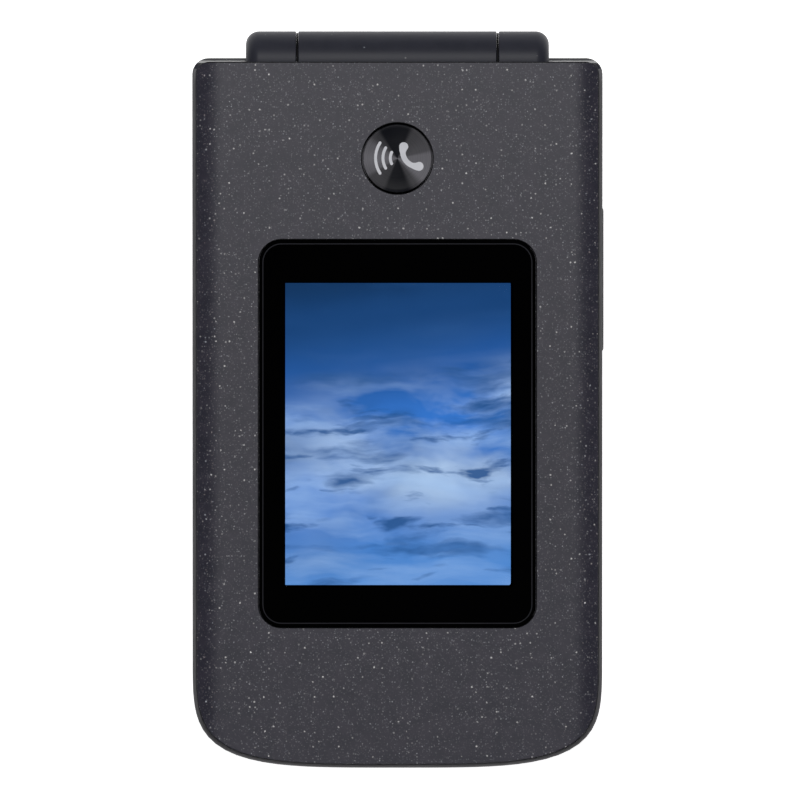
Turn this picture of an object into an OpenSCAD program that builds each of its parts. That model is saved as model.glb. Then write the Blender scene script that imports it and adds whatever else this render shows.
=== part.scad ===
// Folding phone, closed and lying on its back.
// X is to the right and Y towards the hinge as the lid is seen, Z is up out of the lid.
// The origin is under the middle of the phone, on the surface that it lies on. Sizes are in millimetres.

/* [Overall] */
// Width across the keypad half
body_w = 55.5; // [55:0.5:60]
// Length from the bottom end to the crown of the hinge barrel
body_len = 99.6; // [99:0.2:106]
// Thickness of the keypad half
base_t = 10.6; // [10.4:0.1:12.5]
// Thickness of the lid
lid_t = 8; // [7.8:0.1:10]
// Air gap between the closed halves
lid_gap = 0.4; // [0.35:0.05:0.6]
// How far the lid sits inside the keypad half at each side
lid_side_step = 0.55; // [0.2:0.05:1]
// How far the lid sits inside the keypad half at its bottom end
lid_end_step = 0.6; // [0.2:0.05:1]

/* [Outline] */
// Length of the curved bottom end
end_curve = 15; // [10:0.5:18]
// Narrowing of each side from the hinge to the bottom end
side_taper = 0.15; // [0:0.05:0.5]
// Radius of the corners beside the hinge
top_corner = 2.2; // [1.5:0.1:3]
// Radius of the long edges of the lid
lid_edge_r = 3; // [2:0.1:3.6]
// Radius of the long edges of the back
back_edge_r = 2.6; // [1.5:0.1:3]
// Bevel round the rim of the keypad half
rim_bevel = 0.35; // [0.1:0.05:0.6]

/* [Shells] */
// Wall of both keypad shells
base_wall = 1.4; // [1.2:0.1:1.6]
// Wall of both lid shells
lid_wall = 1.2; // [1:0.1:1.4]
// Thickness of the keypad face
face_t = 1.2; // [1:0.1:1.4]
// Thickness of the back
back_t = 1.2; // [1:0.1:1.5]
// Height of the back shell
back_h = 5; // [4.6:0.1:5.4]
// Thickness of the lid's outer face
lid_face_t = 1.6; // [1.4:0.1:1.8]
// Thickness of the lid's inner face
inner_face_t = 1.4; // [1.3:0.1:1.6]
// Height of the lid's inner shell
inner_shell_h = 2.6; // [2.2:0.1:3]
// Fit between a piece and the recess that holds it
fit = 0.1; // [0.05:0.05:0.15]

/* [Hinge] */
// Angle that the lid opens to
swing = 160; // [150:1:165]
// Diameter of the barrel
barrel_d = 8.4; // [8.2:0.1:9]
// Distance from each side of the phone to the barrel
barrel_side = 7.25; // [6.25:0.25:8.25]
// Length of the middle knuckle
mid_knuckle = 26.8; // [25:0.2:28]
// Gap between knuckles, and between the barrel and the halves
knuckle_gap = 0.3; // [0.25:0.05:0.4]
// Wall round the troughs that the knuckles turn in
trough_wall = 1; // [0.8:0.1:1.2]
// Length of the keypad half past the hinge axis
shoulder = 0.6; // [0.3:0.05:0.8]
// Radius at the ends of the barrel
barrel_end_r = 1.8; // [1:0.1:2.2]
// Diameter of the spring canister
canister_d = 6; // [5.4:0.1:6.2]
// Length of the spring canister
canister_len = 14.8; // [13:0.2:16]
// Diameter of the shaft
shaft_d = 3.5; // [3:0.1:3.8]
// Length of the shaft inside the canister
shaft_in = 9.4; // [7:0.2:11]
// Distance from the end of the barrel to the shaft
shaft_end = 1.2; // [0.8:0.1:2.8]
// Outer diameter of the hollow pin
bush_d = 5.2; // [4.8:0.1:5.6]
// Bore of the hollow pin
bush_bore = 3.4; // [3.2:0.1:3.6]
// Running clearance round the shaft and the hollow pin
run = 0.05; // [0.03:0.01:0.08]
// Diameter of the rolled flexible circuit
roll_d = 3; // [2.4:0.1:3]

/* [Lid] */
// Width of the outer window
window_w = 37.3; // [36:0.1:40]
// Length of the outer window
window_len = 52.2; // [51:0.1:54]
// Corner radius of the outer window
window_r = 3; // [2:0.1:4]
// Distance from the hinge axis to the middle of the outer window
window_drop = 50.2; // [49.5:0.1:51]
// Thickness of the outer window
window_t = 0.95; // [0.8:0.05:1]
// Width of the outer display module
outer_disp_w = 34.6; // [33:0.2:36]
// Length of the outer display module
outer_disp_len = 48; // [46:0.2:49]
// Thickness of the outer display module
outer_disp_t = 1.9; // [1.6:0.1:2.1]
// Width of the outer picture
outer_view_w = 30.6; // [29:0.1:32]
// Length of the outer picture
outer_view_len = 40.9; // [39:0.1:42]
// Diameter of the round button
button_d = 9.2; // [8:0.1:10]
// Gap round the round button
button_gap = 0.22; // [0.1:0.02:0.3]
// Distance from the hinge axis to the round button
button_drop = 13.05; // [12.5:0.05:14]
// Travel of the round button
button_travel = 0.4; // [0.2:0.05:0.5]
// Rim that keeps the round button under the lid's face
button_rim = 0.7; // [0.5:0.05:0.8]
// Thickness of that rim
button_rim_t = 0.7; // [0.5:0.05:0.8]
// Width of the switch under the round button
switch_w = 5; // [4:0.5:6]
// Margin round a picture in the opening that shows it
view_margin = 1; // [0.5:0.1:1.2]
// Distance from each side of the lid to the inner window
inner_win_side = 4.2; // [3.8:0.1:4.8]
// Distance from the hinge axis to the upper edge of the inner window
inner_win_drop = 22.6; // [22:0.1:23]
// Distance from the lid's bottom end to the inner window
inner_win_end = 10.2; // [10:0.1:11]
// Corner radius of the inner window
inner_win_r = 3; // [2:0.5:4]
// Thickness of the inner window
inner_win_t = 0.9; // [0.7:0.05:0.9]
// Distance from each side of the inner window to the main display module
inner_disp_side = 2; // [1.5:0.1:3]
// Distance from each end of the inner window to the main display module
inner_disp_end = 3; // [2:0.1:4]
// Thickness of the main display module
inner_disp_t = 1.9; // [1.6:0.1:1.9]
// Distance from each side of the inner window to the main picture
inner_view_side = 4.6; // [4:0.1:5.4]
// Distance from each end of the inner window to the main picture
inner_view_end = 6.5; // [5.6:0.1:7.5]
// Rim of the frame that holds the main display
frame_rim = 1.9; // [1.5:0.1:1.9]
// Thickness of the lid's circuit board
lid_board_t = 0.6; // [0.4:0.1:0.6]
// Gap between the lid's circuit board and the walls
lid_board_edge = 2; // [1.5:0.1:3]
// Width of the earpiece
earpiece_w = 11; // [10:0.5:14]
// Length of the earpiece
earpiece_len = 5.6; // [5:0.1:5.8]
// Width of the earpiece's slot
slot_w = 8; // [6:0.5:9]
// Length of the earpiece's slot
slot_len = 1.2; // [0.8:0.1:1.4]
// Distance from the lid's bottom end to the earpiece
earpiece_up = 4.7; // [4.6:0.1:5]
// Distance from the middle line to the magnet
magnet_x = 14; // [12:0.5:15]
// Diameter of each bumper
bumper_d = 4.4; // [4:0.1:4.6]
// Depth of the recess that each bumper sits in
bumper_seat = 0.45; // [0.3:0.05:0.5]
// Height of each bumper above the inner face
bumper_proud = 0.28; // [0.2:0.02:0.3]

/* [Keypad] */
// Distance from each side of the phone to the number keys
key_side = 3.55; // [3.4:0.05:4.2]
// Web between number keys across the phone
key_web_x = 1.4; // [1.2:0.1:2.4]
// Web between number keys along the phone
key_web_y = 2.6; // [1.6:0.1:4]
// Distance from the bottom end to the lowest number keys
keys_end = 12.6; // [12.2:0.1:14]
// Corner radius of the keys
key_r = 1.6; // [0.8:0.1:2.4]
// Gap round each key in the face
key_gap = 0.1; // [0.08:0.01:0.16]
// Rim of each key under the face
key_rim = 0.4; // [0.3:0.05:0.45]
// Thickness of that rim
rim_t = 0.75; // [0.6:0.05:0.8]
// Height of the keys above the face
key_proud = 0.2; // [0.1:0.05:0.25]
// Travel of the keys
key_travel = 0.3; // [0.2:0.02:0.34]
// Distance from the hinge axis to the middle of the four-way ring
nav_drop = 17.2; // [17:0.1:17.6]
// Distance from the middle of the four-way ring to the upper edge of the number keys
keys_drop = 14.6; // [14.2:0.1:15]
// Width of the four-way ring
nav_w = 20; // [19:0.1:20.4]
// Length of the four-way ring
nav_len = 17; // [16:0.1:17.6]
// Corner radius of the four-way ring
nav_r = 5; // [4:0.1:7]
// Height of the four-way ring above the face
nav_proud = 0; // [0:0.01:0.05]
// Gap round the four-way ring in the face
nav_gap = 0.25; // [0.2:0.05:0.3]
// Radius of the ring that the four-way ring rocks on
pivot_r = 6.3; // [6:0.1:6.5]
// Rim that keeps the centre key under the four-way ring
ok_rim = 0.6; // [0.4:0.05:0.7]
// Thickness of the rims of the four-way ring and the centre key
nav_rim_t = 0.4; // [0.3:0.05:0.42]
// Diameter of the centre key
ok_d = 8; // [7:0.1:8.4]
// Web between the four-way ring and the keys beside it
side_key_web = 1.3; // [1.1:0.1:2]
// Distance from each side of the phone to the keys beside the ring
side_key_side = 3.45; // [3.4:0.05:4.2]
// Length of the keys beside the ring
side_key_len = 6.2; // [5.4:0.1:6.6]
// Distance from the ring's middle up to the soft keys, and down to the call keys
side_key_y = 6.2; // [5.9:0.05:6.6]
// Thickness of the rubber sheet under the keys
keymat_t = 0.45; // [0.3:0.05:0.5]
// Height of a snap dome
dome_h = 0.2; // [0.15:0.05:0.25]
// Diameter of a snap dome
dome_d = 4; // [3:0.1:5]
// Thickness of the sheet that holds the domes
dome_sheet_t = 0.15; // [0.1:0.05:0.2]

/* [Side rocker] */
// Length of the volume rocker
rocker_len = 19.4; // [17:0.2:21]
// Height of the volume rocker
rocker_h = 2.4; // [2:0.1:2.6]
// How far the rocker stands out of the side
rocker_proud = 0.15; // [0.05:0.05:0.4]
// Distance from the hinge axis to the middle of the rocker
rocker_drop = 29.35; // [29:0.05:30]
// Distance between the rocker's two switches
rocker_span = 14; // [10:0.5:15]

/* [Battery] */
// Distance from each side of the phone to the battery
batt_side = 5.75; // [5.3:0.05:7]
// Distance from the bottom end to the battery
batt_end = 12.8; // [12.4:0.1:16]
// Thickness of the battery
batt_t = 3.8; // [3.4:0.1:4]
// Distance from the hinge axis to the upper end of the battery
batt_drop = 26.6; // [26.2:0.1:27]
// Wall of the battery well
well_wall = 1; // [0.8:0.1:1.2]
// Thickness of the well's floor
well_floor_t = 0.7; // [0.5:0.1:0.8]
// Distance from each side of the phone to the battery cover
cover_side = 3.25; // [3.1:0.05:3.5]
// Thickness of the battery cover
cover_t = 1.1; // [1:0.05:1.1]
// Gap round the battery in its well
batt_gap = 0.3; // [0.2:0.05:0.4]
// Width of the block with the battery's contacts
contact_w = 9.6; // [9:0.2:12]
// Travel of the battery cover before it lifts off
cover_travel = 5; // [4:0.5:8]
// Length of each tongue at the sides of the battery cover
tongue_len = 10; // [6:1:12]
// Reach of each tongue into the back shell
tongue_out = 0.5; // [0.3:0.1:0.5]

/* [Electronics] */
// Thickness of the main board
board_t = 0.8; // [0.6:0.1:0.9]
// Gap between the main board and the walls
board_edge = 1.75; // [1.7:0.05:1.9]
// Width of the charging port
usb_w = 8.94; // [8.9:0.01:9]
// Height of the charging port
usb_h = 3.26; // [3.2:0.01:3.3]
// Depth of the charging port
usb_len = 7.3; // [6.5:0.1:7.6]
// Bore of the headphone jack
jack_bore = 3.6; // [3.55:0.01:3.7]
// Depth of the headphone jack
jack_depth = 12; // [11:0.5:13]
// Wall of the headphone jack's collar
jack_wall = 0.9; // [0.7:0.05:1]
// Height of the headphone jack's body
jack_h = 5; // [4.8:0.1:5.2]
// Width of the headphone jack's body
jack_w = 6; // [5.6:0.1:6]
// Distance from the hinge axis to the headphone jack
jack_drop = 11.4; // [11.2:0.05:11.6]
// Width of the camera module
camera_w = 8.5; // [8:0.1:9]
// Distance from the hinge axis to the camera
camera_drop = 11.6; // [11.2:0.1:12]
// Diameter of the camera's lens barrel
lens_d = 5.6; // [5:0.1:6]
// Diameter of the camera window
camera_win_d = 8; // [7.4:0.1:9]
// Thickness of the camera window
camera_win_t = 0.6; // [0.4:0.05:0.65]
// Gap between the camera and the pieces beside it
camera_room = 1.65; // [1.4:0.05:2]
// Gap between the loudspeaker and the boss beside it
speaker_room = 0.3; // [0.2:0.1:1]
// Distance from the hinge axis to the loudspeaker
speaker_drop = 12.4; // [12.2:0.1:12.6]
// Length of the loudspeaker
speaker_len = 11; // [10:0.2:11.2]
// Width of each slot over the loudspeaker
grille_w = 9.6; // [8:0.2:11]
// Distance between those slots
grille_pitch = 1.8; // [1.4:0.1:2]
// Diameter of the vibration motor
motor_d = 8; // [7:0.1:8.4]
// Gap between the vibration motor and the boss beside it
motor_room = 2.5; // [2:0.1:3]
// Thickness of the vibration motor
motor_t = 2.7; // [2.5:0.1:3]
// Width of the card holder
card_w = 15; // [14:0.5:16]
// Length of the card holder
card_len = 14; // [13:0.5:15]
// Length of the shield can beside the camera
shield_len = 7.6; // [7:0.1:7.8]
// Distance from the hinge axis to that shield can
shield_drop = 19.4; // [19.2:0.1:19.8]
// Width of the chips under the shield cans
chip_w = 6.5; // [5:0.5:8]
// Length of the chips under the shield cans
chip_len = 5.5; // [4:0.5:6]
// Gap between the antenna and the battery's well
antenna_room = 1.9; // [1.5:0.1:2.5]
// Height of the shield cans
shield_h = 1.5; // [1.2:0.1:1.6]
// Width of the flexible circuit
flex_w = 3.2; // [2.6:0.1:3.4]
// Thickness of the flexible circuit
flex_t = 0.3; // [0.2:0.05:0.3]

/* [Screws] */
// Diameter of the screws of the keypad half
base_screw_d = 1.6; // [1.4:0.1:1.8]
// Diameter of the screws of the lid
lid_screw_d = 1.4; // [1.2:0.1:1.5]
// Height of the heads of the keypad half's screws
base_head_t = 1; // [0.8:0.1:1.2]
// Height of the heads of the lid's screws
lid_head_t = 0.8; // [0.6:0.1:0.8]
// Width of each head for one millimetre of its screw
head_ratio = 1.8; // [1.6:0.05:1.9]
// Wall of each boss round its screw
boss_wall = 1.3; // [1.1:0.05:1.35]

/* [Hidden] */
$fn = 48;
eps = 0.01;

// Half width, and planes of the hinge and of the bottom end
base_half = body_w / 2;
hinge_y = body_len / 2 - barrel_d / 2;
hinge_z = base_t + lid_gap / 2;
bottom_y = -body_len / 2;
barrel_r = barrel_d / 2;
trough_r = barrel_r + knuckle_gap;
mid_x = mid_knuckle / 2;
outer_x = mid_x + knuckle_gap;
end_x = base_half - barrel_side;
trough_end = end_x + knuckle_gap;

// The upper end of the keypad half leans back, level with the inner face of the opened lid
lean_in = 0.35;
lean_h = (shoulder + lean_in) / tan(180 - swing);

// Half width and lower end of the lid
lid_half = base_half - lid_side_step;
lid_bottom = bottom_y + lid_end_step;
lid_curve = end_curve - lid_end_step;
lid_corner = top_corner - 0.4;

// Levels of the keypad half, from its face down
face_z = base_t - face_t;
slack = 0.05;
key_z = face_z - slack - rim_t;
keymat_z = key_z - key_travel - slack - keymat_t;
board_top = keymat_z - slack - dome_h - dome_sheet_t;
board_z = board_top - board_t;

// Levels of the keypad half, from its back up
batt_z = cover_t + fit;
well_z = batt_z + batt_t + batt_gap;
well_top = well_z + well_floor_t;

// Levels of the lid
lid_z = base_t + lid_gap;
lid_top = lid_z + lid_t;
split_z = lid_z + inner_shell_h;
inner_face_z = lid_z + inner_face_t;
lid_face_z = lid_top - lid_face_t;
outer_disp_z = lid_face_z - slack - outer_disp_t;
lid_board_top = outer_disp_z - 0.3;
lid_board_z = lid_board_top - lid_board_t;

// Middles of the larger pieces along the phone
window_y = hinge_y - window_drop;
window_z = lid_top - slack - window_t;
button_y = hinge_y - button_drop;
button_z = lid_face_z - slack - button_rim_t;
inner_win_w = 2 * (lid_half - inner_win_side);
inner_win_len = hinge_y - inner_win_drop - lid_bottom - inner_win_end;
inner_win_y = lid_bottom + inner_win_end + inner_win_len / 2;
inner_disp_w = inner_win_w - 2 * inner_disp_side;
inner_disp_len = inner_win_len - 2 * inner_disp_end;
inner_view_w = inner_win_w - 2 * inner_view_side;
inner_view_len = inner_win_len - 2 * inner_view_end;
inner_win_z = lid_z + slack;
inner_disp_z = inner_face_z + slack;
earpiece_y = lid_bottom + earpiece_up;
mesh_z = inner_face_z - 0.5;
nav_y = hinge_y - nav_drop;
rocker_y = hinge_y - rocker_drop;
batt_top_y = hinge_y - batt_drop;
batt_low_y = bottom_y + batt_end;
batt_len = batt_top_y - batt_low_y;
batt_w = 2 * (base_half - batt_side);
batt_y = batt_top_y - batt_len / 2;
cover_w = 2 * (base_half - cover_side);
well_w = batt_w + 2 * batt_gap;
well_len = batt_len + 2 * batt_gap;
cover_top_y = batt_top_y + 3;
ledge_z = back_t + cover_t;

// Inside of the keypad half
base_inner = base_half - base_wall;
board_half = base_inner - board_edge;
board_top_y = hinge_y - trough_r - 0.8;
keymat_top_y = hinge_y - trough_r - trough_wall - 1.2;
keymat_low_y = bottom_y + keys_end - 1;

// Screws: one of each pair, mirrored across the phone
base_boss_r = base_screw_d / 2 + boss_wall;
base_screws_at = [[base_inner - 3.45, hinge_y - 16.8], [base_inner - 4.35, bottom_y + 8.3]];
base_heads_z = [0.3, cover_t + 0.3];
base_tips_z = face_z - 1;
lid_boss_r = lid_screw_d / 2 + boss_wall;
lid_screws_at = [[lid_half - lid_wall - 2.1, hinge_y - 4.1], [lid_half - lid_wall - 5.5, lid_bottom + 7.2]];
lid_seat_z = lid_z + bumper_seat + slack + lid_head_t;
lid_boss_z = lid_seat_z + 0.9;
lid_tips_z = lid_face_z - 1;

// Charging port and headphone jack hang under the board
usb_z = board_z - usb_h / 2;
usb_y = bottom_y + 0.45;
jack_y = hinge_y - jack_drop;
jack_z = board_z - jack_h / 2;
jack_x = -(base_inner - slack);
camera_y = hinge_y - camera_drop;
camera_win_z = 0.15;
speaker_x = [camera_w / 2 + camera_room, base_screws_at[0][0] - base_boss_r - speaker_room];
speaker_w = speaker_x[1] - speaker_x[0];
speaker_at = [(speaker_x[0] + speaker_x[1]) / 2, hinge_y - speaker_drop];
motor_at = [base_screws_at[1][0] - base_boss_r - motor_room - motor_d / 2, bottom_y + motor_d / 2 + 2.7];
mic_at = [9, bottom_y + 4.9];

card_at = [-12, batt_top_y - 9];
shield_x = [speaker_room + 0.9 + base_boss_r - base_screws_at[0][0], -camera_w / 2 - camera_room - 0.1];
shield_at = [[(shield_x[0] + shield_x[1]) / 2, hinge_y - shield_drop], speaker_at];
shield_size = [[shield_x[1] - shield_x[0], shield_len], [speaker_w - 0.2, speaker_len - 0.4]];
antenna_x = [base_boss_r + 2.7 - base_screws_at[1][0], -usb_w / 2 - 1.73];
antenna_top_y = batt_low_y - batt_gap - well_wall - antenna_room;
rocker_z = back_h + 0.4 + rocker_h / 2;
rocker_z0 = rocker_z - rocker_h / 2;
rocker_z1 = rocker_z + rocker_h / 2;
tongues_y = [batt_low_y + 8, batt_y + 4];
tongue_z = [0.5, 0.9];

// Flexible circuit through the hollow pin
tail_x = -mid_x + 4.4;
tail_z = hinge_z + roll_d / 2 - flex_t - 0.1;
tail_end_y = hinge_y - trough_r - trough_wall - 1.9;
flex_split = outer_x + 1.8;
flex_end = end_x - 1.2;
flex_y = hinge_y - roll_d / 2;
flex_z = board_top + 0.9;

// Keys: name, middle and size of each
number_names = ["key_1", "key_2", "key_3", "key_4", "key_5", "key_6",
                "key_7", "key_8", "key_9", "key_star", "key_0", "key_hash"];
side_names = ["left_soft_key", "right_soft_key", "call_key", "end_key"];
keys_top_y = nav_y - keys_drop;
key_w = 2 * (base_half - key_side - key_web_x) / 3;
key_len = (keys_top_y - bottom_y - keys_end - 3 * key_web_y) / 4;
side_key_x0 = nav_w / 2 + side_key_web;
side_key_w = base_half - side_key_side - side_key_x0;
side_key_x = side_key_x0 + side_key_w / 2;
number_at = [for (row = [0:3], col = [-1:1])
    [col * (key_w + key_web_x), keys_top_y - key_len / 2 - row * (key_len + key_web_y)]];
side_at = [for (up = [1, -1], side = [-1, 1]) [side * side_key_x, nav_y + up * side_key_y]];

// Points of a round corner, from one direction to another
function arc(at, r, from, to, n = 6) =
    [for (i = [0:n]) let (a = from + (to - from) * i / n) at + r * [cos(a), sin(a)]];

// Rectangle with round corners, about its middle
function round_rect(w, h, r) = concat(
    arc([w / 2 - r, h / 2 - r], r, 0, 90), arc([r - w / 2, h / 2 - r], r, 90, 180),
    arc([r - w / 2, r - h / 2], r, 180, 270), arc([w / 2 - r, r - h / 2], r, 270, 360));

// Outline of one half of the phone: round upper corners, tapering sides, and a lower end whose
// curve is a superellipse of the fourth power. It is drawn a given distance inside its edge.
function right_side(half, top, bottom, corner, curve) = concat(
    arc([half - corner, top - corner], corner, 90, 0),
    [for (i = [0:15])
        let (a = 6 * i, reach = pow(pow(cos(a), 4) + pow(sin(a), 4), -0.25))
        [(half - side_taper) * reach * cos(a), bottom + curve - curve * reach * sin(a)]]);
function outline(half, top, bottom, corner, curve) =
    let (right = right_side(half, top, bottom, corner, curve))
    concat([for (i = [0:len(right) - 2]) right[i]],
           [for (i = [len(right) - 1:-1:0]) [-right[i][0], right[i][1]]]);
function base_outline(inset = 0) = outline(base_half - inset, hinge_y + shoulder - inset,
    bottom_y + inset, max(top_corner - inset, 0.4), end_curve - inset);
function lid_outline(inset = 0) = outline(lid_half - inset, hinge_y - inset,
    lid_bottom + inset, max(lid_corner - inset, 0.4), lid_curve - inset);

// Solid between two levels, over an outline
module slab(points, z0, z1) {
    translate([0, 0, z0]) linear_extrude(z1 - z0) polygon(points);
}

// Box between two corners
module box(from, to) {
    translate(from) cube(to - from);
}

// Rounded plate about a point
module pad(at, w, h, r, z0, z1) {
    translate([at[0], at[1], 0]) slab(round_rect(w, h, r), z0, z1);
}

// Upright cylinder
module post(at, r, z0, z1) {
    translate([at[0], at[1], z0]) cylinder(r = r, h = z1 - z0);
}

// Cylinder on the hinge axis
module on_axis(r, x0, x1) {
    translate([x0, hinge_y, hinge_z]) rotate([0, 90, 0]) cylinder(r = r, h = x1 - x0);
}

// Profile drawn in Y and Z, or in X and Z, and drawn out through the whole phone
module along_x(points) {
    rotate([90, 0, 90]) translate([0, 0, -body_w]) linear_extrude(2 * body_w) polygon(points);
}
module along_y(points) {
    rotate([90, 0, 0]) translate([0, 0, -body_len]) linear_extrude(2 * body_len) polygon(points);
}

// Both places of a pair that is mirrored across the phone
module pair(at) {
    for (side = [-1, 1]) translate([side * at[0], at[1], 0]) children();
}

// Outside of the keypad half. The upper end leans back so that the opened lid clears it.
module base_envelope(z0, z1) {
    flat = base_half - back_edge_r;
    end_r = back_edge_r - 0.4;
    intersection() {
        slab(base_outline(), z0, z1);
        along_y(concat(
            arc([flat, back_edge_r], back_edge_r, -90, 0),
            [[base_half, base_t - rim_bevel], [base_half - rim_bevel, base_t],
             [rim_bevel - base_half, base_t], [-base_half, base_t - rim_bevel]],
            arc([-flat, back_edge_r], back_edge_r, 180, 270)));
        along_x(concat(
            arc([hinge_y + shoulder - end_r, end_r], end_r, -90, 0),
            [[hinge_y + shoulder, base_t - lean_h], [hinge_y - lean_in, base_t],
             [bottom_y + rim_bevel, base_t], [bottom_y, base_t - rim_bevel]],
            arc([bottom_y + end_r, end_r], end_r, 180, 270)));
    }
}

// Outside of the lid, whose long edges are round
module lid_envelope(z0, z1) {
    flat = lid_half - lid_edge_r + 0.8;
    intersection() {
        slab(lid_outline(), z0, z1);
        along_y(concat(
            [[flat + lid_edge_r, lid_z]], arc([flat, lid_top - lid_edge_r], lid_edge_r, 0, 90, 8),
            arc([-flat, lid_top - lid_edge_r], lid_edge_r, 90, 180, 8), [[-flat - lid_edge_r, lid_z]]));
    }
}

// Openings through the wall of the keypad half, shared by both shells
module port_cuts() {
    translate([0, bottom_y + 4, usb_z]) rotate([90, 0, 0])
        linear_extrude(6) polygon(round_rect(usb_w + 2 * fit, usb_h + 2 * fit, usb_h / 2));
    translate([-base_half - 1, jack_y, jack_z]) rotate([0, 90, 0])
        cylinder(d = jack_bore + 2 * jack_wall + 2 * fit, h = base_wall + 1.2);
}

// Screw between two levels, with its head at the lower end
module screw(d, head_t, z0, z1) {
    difference() {
        union() {
            post([0, 0], head_ratio * d / 2, z0, z0 + head_t);
            post([0, 0], d / 2, z0 + head_t - eps, z1);
        }
        translate([0, 0, z0 - eps]) cylinder(d = 0.9 * d, h = 0.45 * head_t, $fn = 6);
    }
}

module lid_cover() color("#4a4b50") difference() {
    union() {
        difference() {
            lid_envelope(split_z, lid_top);
            slab(lid_outline(lid_wall), split_z - 1, lid_face_z);
        }
        for (at = lid_screws_at) pair(at) post([0, 0], lid_boss_r, lid_boss_z, lid_face_z + eps);
    }
    on_axis(trough_r, -trough_end, trough_end);
    pad([0, window_y], window_w + 2 * fit, window_len + 2 * fit, window_r + fit, window_z, lid_top + 1);
    pad([0, window_y], outer_view_w + 2 * view_margin, outer_view_len + 2 * view_margin, 1,
        lid_face_z - 1, lid_top);
    post([0, button_y], button_d / 2 + button_gap, lid_face_z - 1, lid_top + 1);
    for (at = lid_screws_at) pair(at) post([0, 0], lid_screw_d / 2, lid_boss_z - 1, lid_tips_z + 0.2);
}

// The flexible circuit leaves the middle knuckle beside the hollow pin
module lid_inner_cover() color("#2b2c30") difference() {
    union() {
        difference() {
            slab(lid_outline(), lid_z, split_z);
            slab(lid_outline(lid_wall), inner_face_z, split_z + 1);
        }
        intersection() {
            on_axis(trough_r + trough_wall, -trough_end - trough_wall, trough_end + trough_wall);
            slab(lid_outline(lid_wall + fit), lid_z, lid_face_z - 0.3);
        }
        on_axis(barrel_r, -mid_x, mid_x);
        for (at = lid_screws_at) pair(at) post([0, 0], lid_boss_r, lid_z + 0.5, lid_boss_z);
    }
    on_axis(trough_r, mid_x, trough_end);
    on_axis(trough_r, -trough_end, -mid_x);
    on_axis(canister_d / 2, mid_x - canister_len - fit, mid_x + 1);
    on_axis(bush_d / 2 + run, -mid_x - 1, tail_x + flex_w + 2.8);
    box([tail_x - 0.3, tail_end_y - 0.6, tail_z - fit],
        [tail_x + flex_w + 0.3, hinge_y - 0.5, inner_face_z + eps]);
    pad([0, inner_win_y], inner_win_w + 2 * fit, inner_win_len + 2 * fit, inner_win_r,
        lid_z - 1, inner_win_z + inner_win_t);
    pad([0, inner_win_y], inner_view_w + 2 * view_margin, inner_view_len + 2 * view_margin, 1,
        lid_z, inner_face_z + 1);
    pad([0, earpiece_y], slot_w, slot_len, slot_len / 2 - eps, lid_z - 1, inner_face_z + 1);
    pad([0, earpiece_y], slot_w + 1, slot_len + 1, slot_len / 2, mesh_z, inner_face_z + 1);
    for (at = lid_screws_at) pair(at) {
        post([0, 0], bumper_d / 2 + slack, lid_z - 1, lid_z + bumper_seat);
        post([0, 0], head_ratio * lid_screw_d / 2 + fit, lid_z, lid_seat_z);
        post([0, 0], lid_screw_d / 2 + fit, lid_z, lid_boss_z + 1);
    }
}

module outer_window() color("#08080a")
    pad([0, window_y], window_w, window_len, window_r, window_z, window_z + window_t);

module outer_display() color("#4f83bd") {
    pad([0, window_y], outer_disp_w, outer_disp_len, 0.6, outer_disp_z, lid_face_z - slack);
    pad([0, window_y], outer_view_w, outer_view_len, 0.3, lid_face_z - slack - eps, window_z - fit);
}

module front_button() color("#1d1d20") {
    post([0, button_y], button_d / 2, button_z, lid_top);
    post([0, button_y], button_d / 2 + button_rim, button_z, button_z + button_rim_t);
}

module front_button_switch() color("silver") {
    top = button_z - button_travel - fit;
    pad([0, button_y], switch_w, switch_w, 0.4, lid_board_top, top - 0.3);
    post([0, button_y], 1.4, top - 0.3 - eps, top);
}

module lid_board() color("#1f6b45") difference() {
    slab(lid_outline(lid_wall + lid_board_edge), lid_board_z, lid_board_top);
    box([-body_w, hinge_y - trough_r - trough_wall - 1, 0], [body_w, hinge_y + 1, lid_top]);
    for (at = lid_screws_at) pair(at) post([0, 0], lid_boss_r + 0.3, lid_board_z - 1, lid_top);
}

module display_frame() color("#9ea2a8") difference() {
    pad([0, inner_win_y], inner_disp_w + 2 * frame_rim, inner_disp_len + 2 * frame_rim, 1.5,
        inner_face_z, lid_board_z);
    pad([0, inner_win_y], inner_disp_w + 2 * fit, inner_disp_len + 2 * fit, 0.6,
        inner_face_z - 1, lid_board_z - fit);
}

module inner_display() color("#101418")
    pad([0, inner_win_y], inner_disp_w, inner_disp_len, 0.5, inner_disp_z, inner_disp_z + inner_disp_t);

module inner_window() color("#0a0a0c")
    pad([0, inner_win_y], inner_win_w, inner_win_len, inner_win_r - fit,
        inner_win_z, inner_win_z + inner_win_t);

module earpiece() color("#26272a")
    pad([0, earpiece_y], earpiece_w, earpiece_len, 1.4, inner_face_z, lid_board_z - fit);

module earpiece_mesh() color("#3a3b3e")
    pad([0, earpiece_y], slot_w + 0.8, slot_len + 0.8, slot_len / 2, mesh_z, mesh_z + 0.2);

module lid_magnet() color("#b8bcc2")
    pad([-magnet_x, earpiece_y], 4, 3, 0.3, inner_face_z, inner_face_z + 1.5);

module lid_bumpers() color("#17181a")
    for (at = lid_screws_at) pair(at) post([0, 0], bumper_d / 2, lid_z - bumper_proud, lid_z + bumper_seat);

module lid_screws() color("#8d9097")
    for (at = lid_screws_at) pair(at) screw(lid_screw_d, lid_head_t, lid_seat_z - lid_head_t, lid_tips_z);

module hinge_module() color("#7d8087") difference() {
    on_axis(canister_d / 2, mid_x - canister_len, mid_x - fit);
    on_axis(shaft_d / 2 + run, mid_x - shaft_in - 0.4, mid_x + 1);
}

module hinge_shaft() color("#c3c6cb") on_axis(shaft_d / 2, mid_x - shaft_in, end_x - shaft_end);

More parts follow.
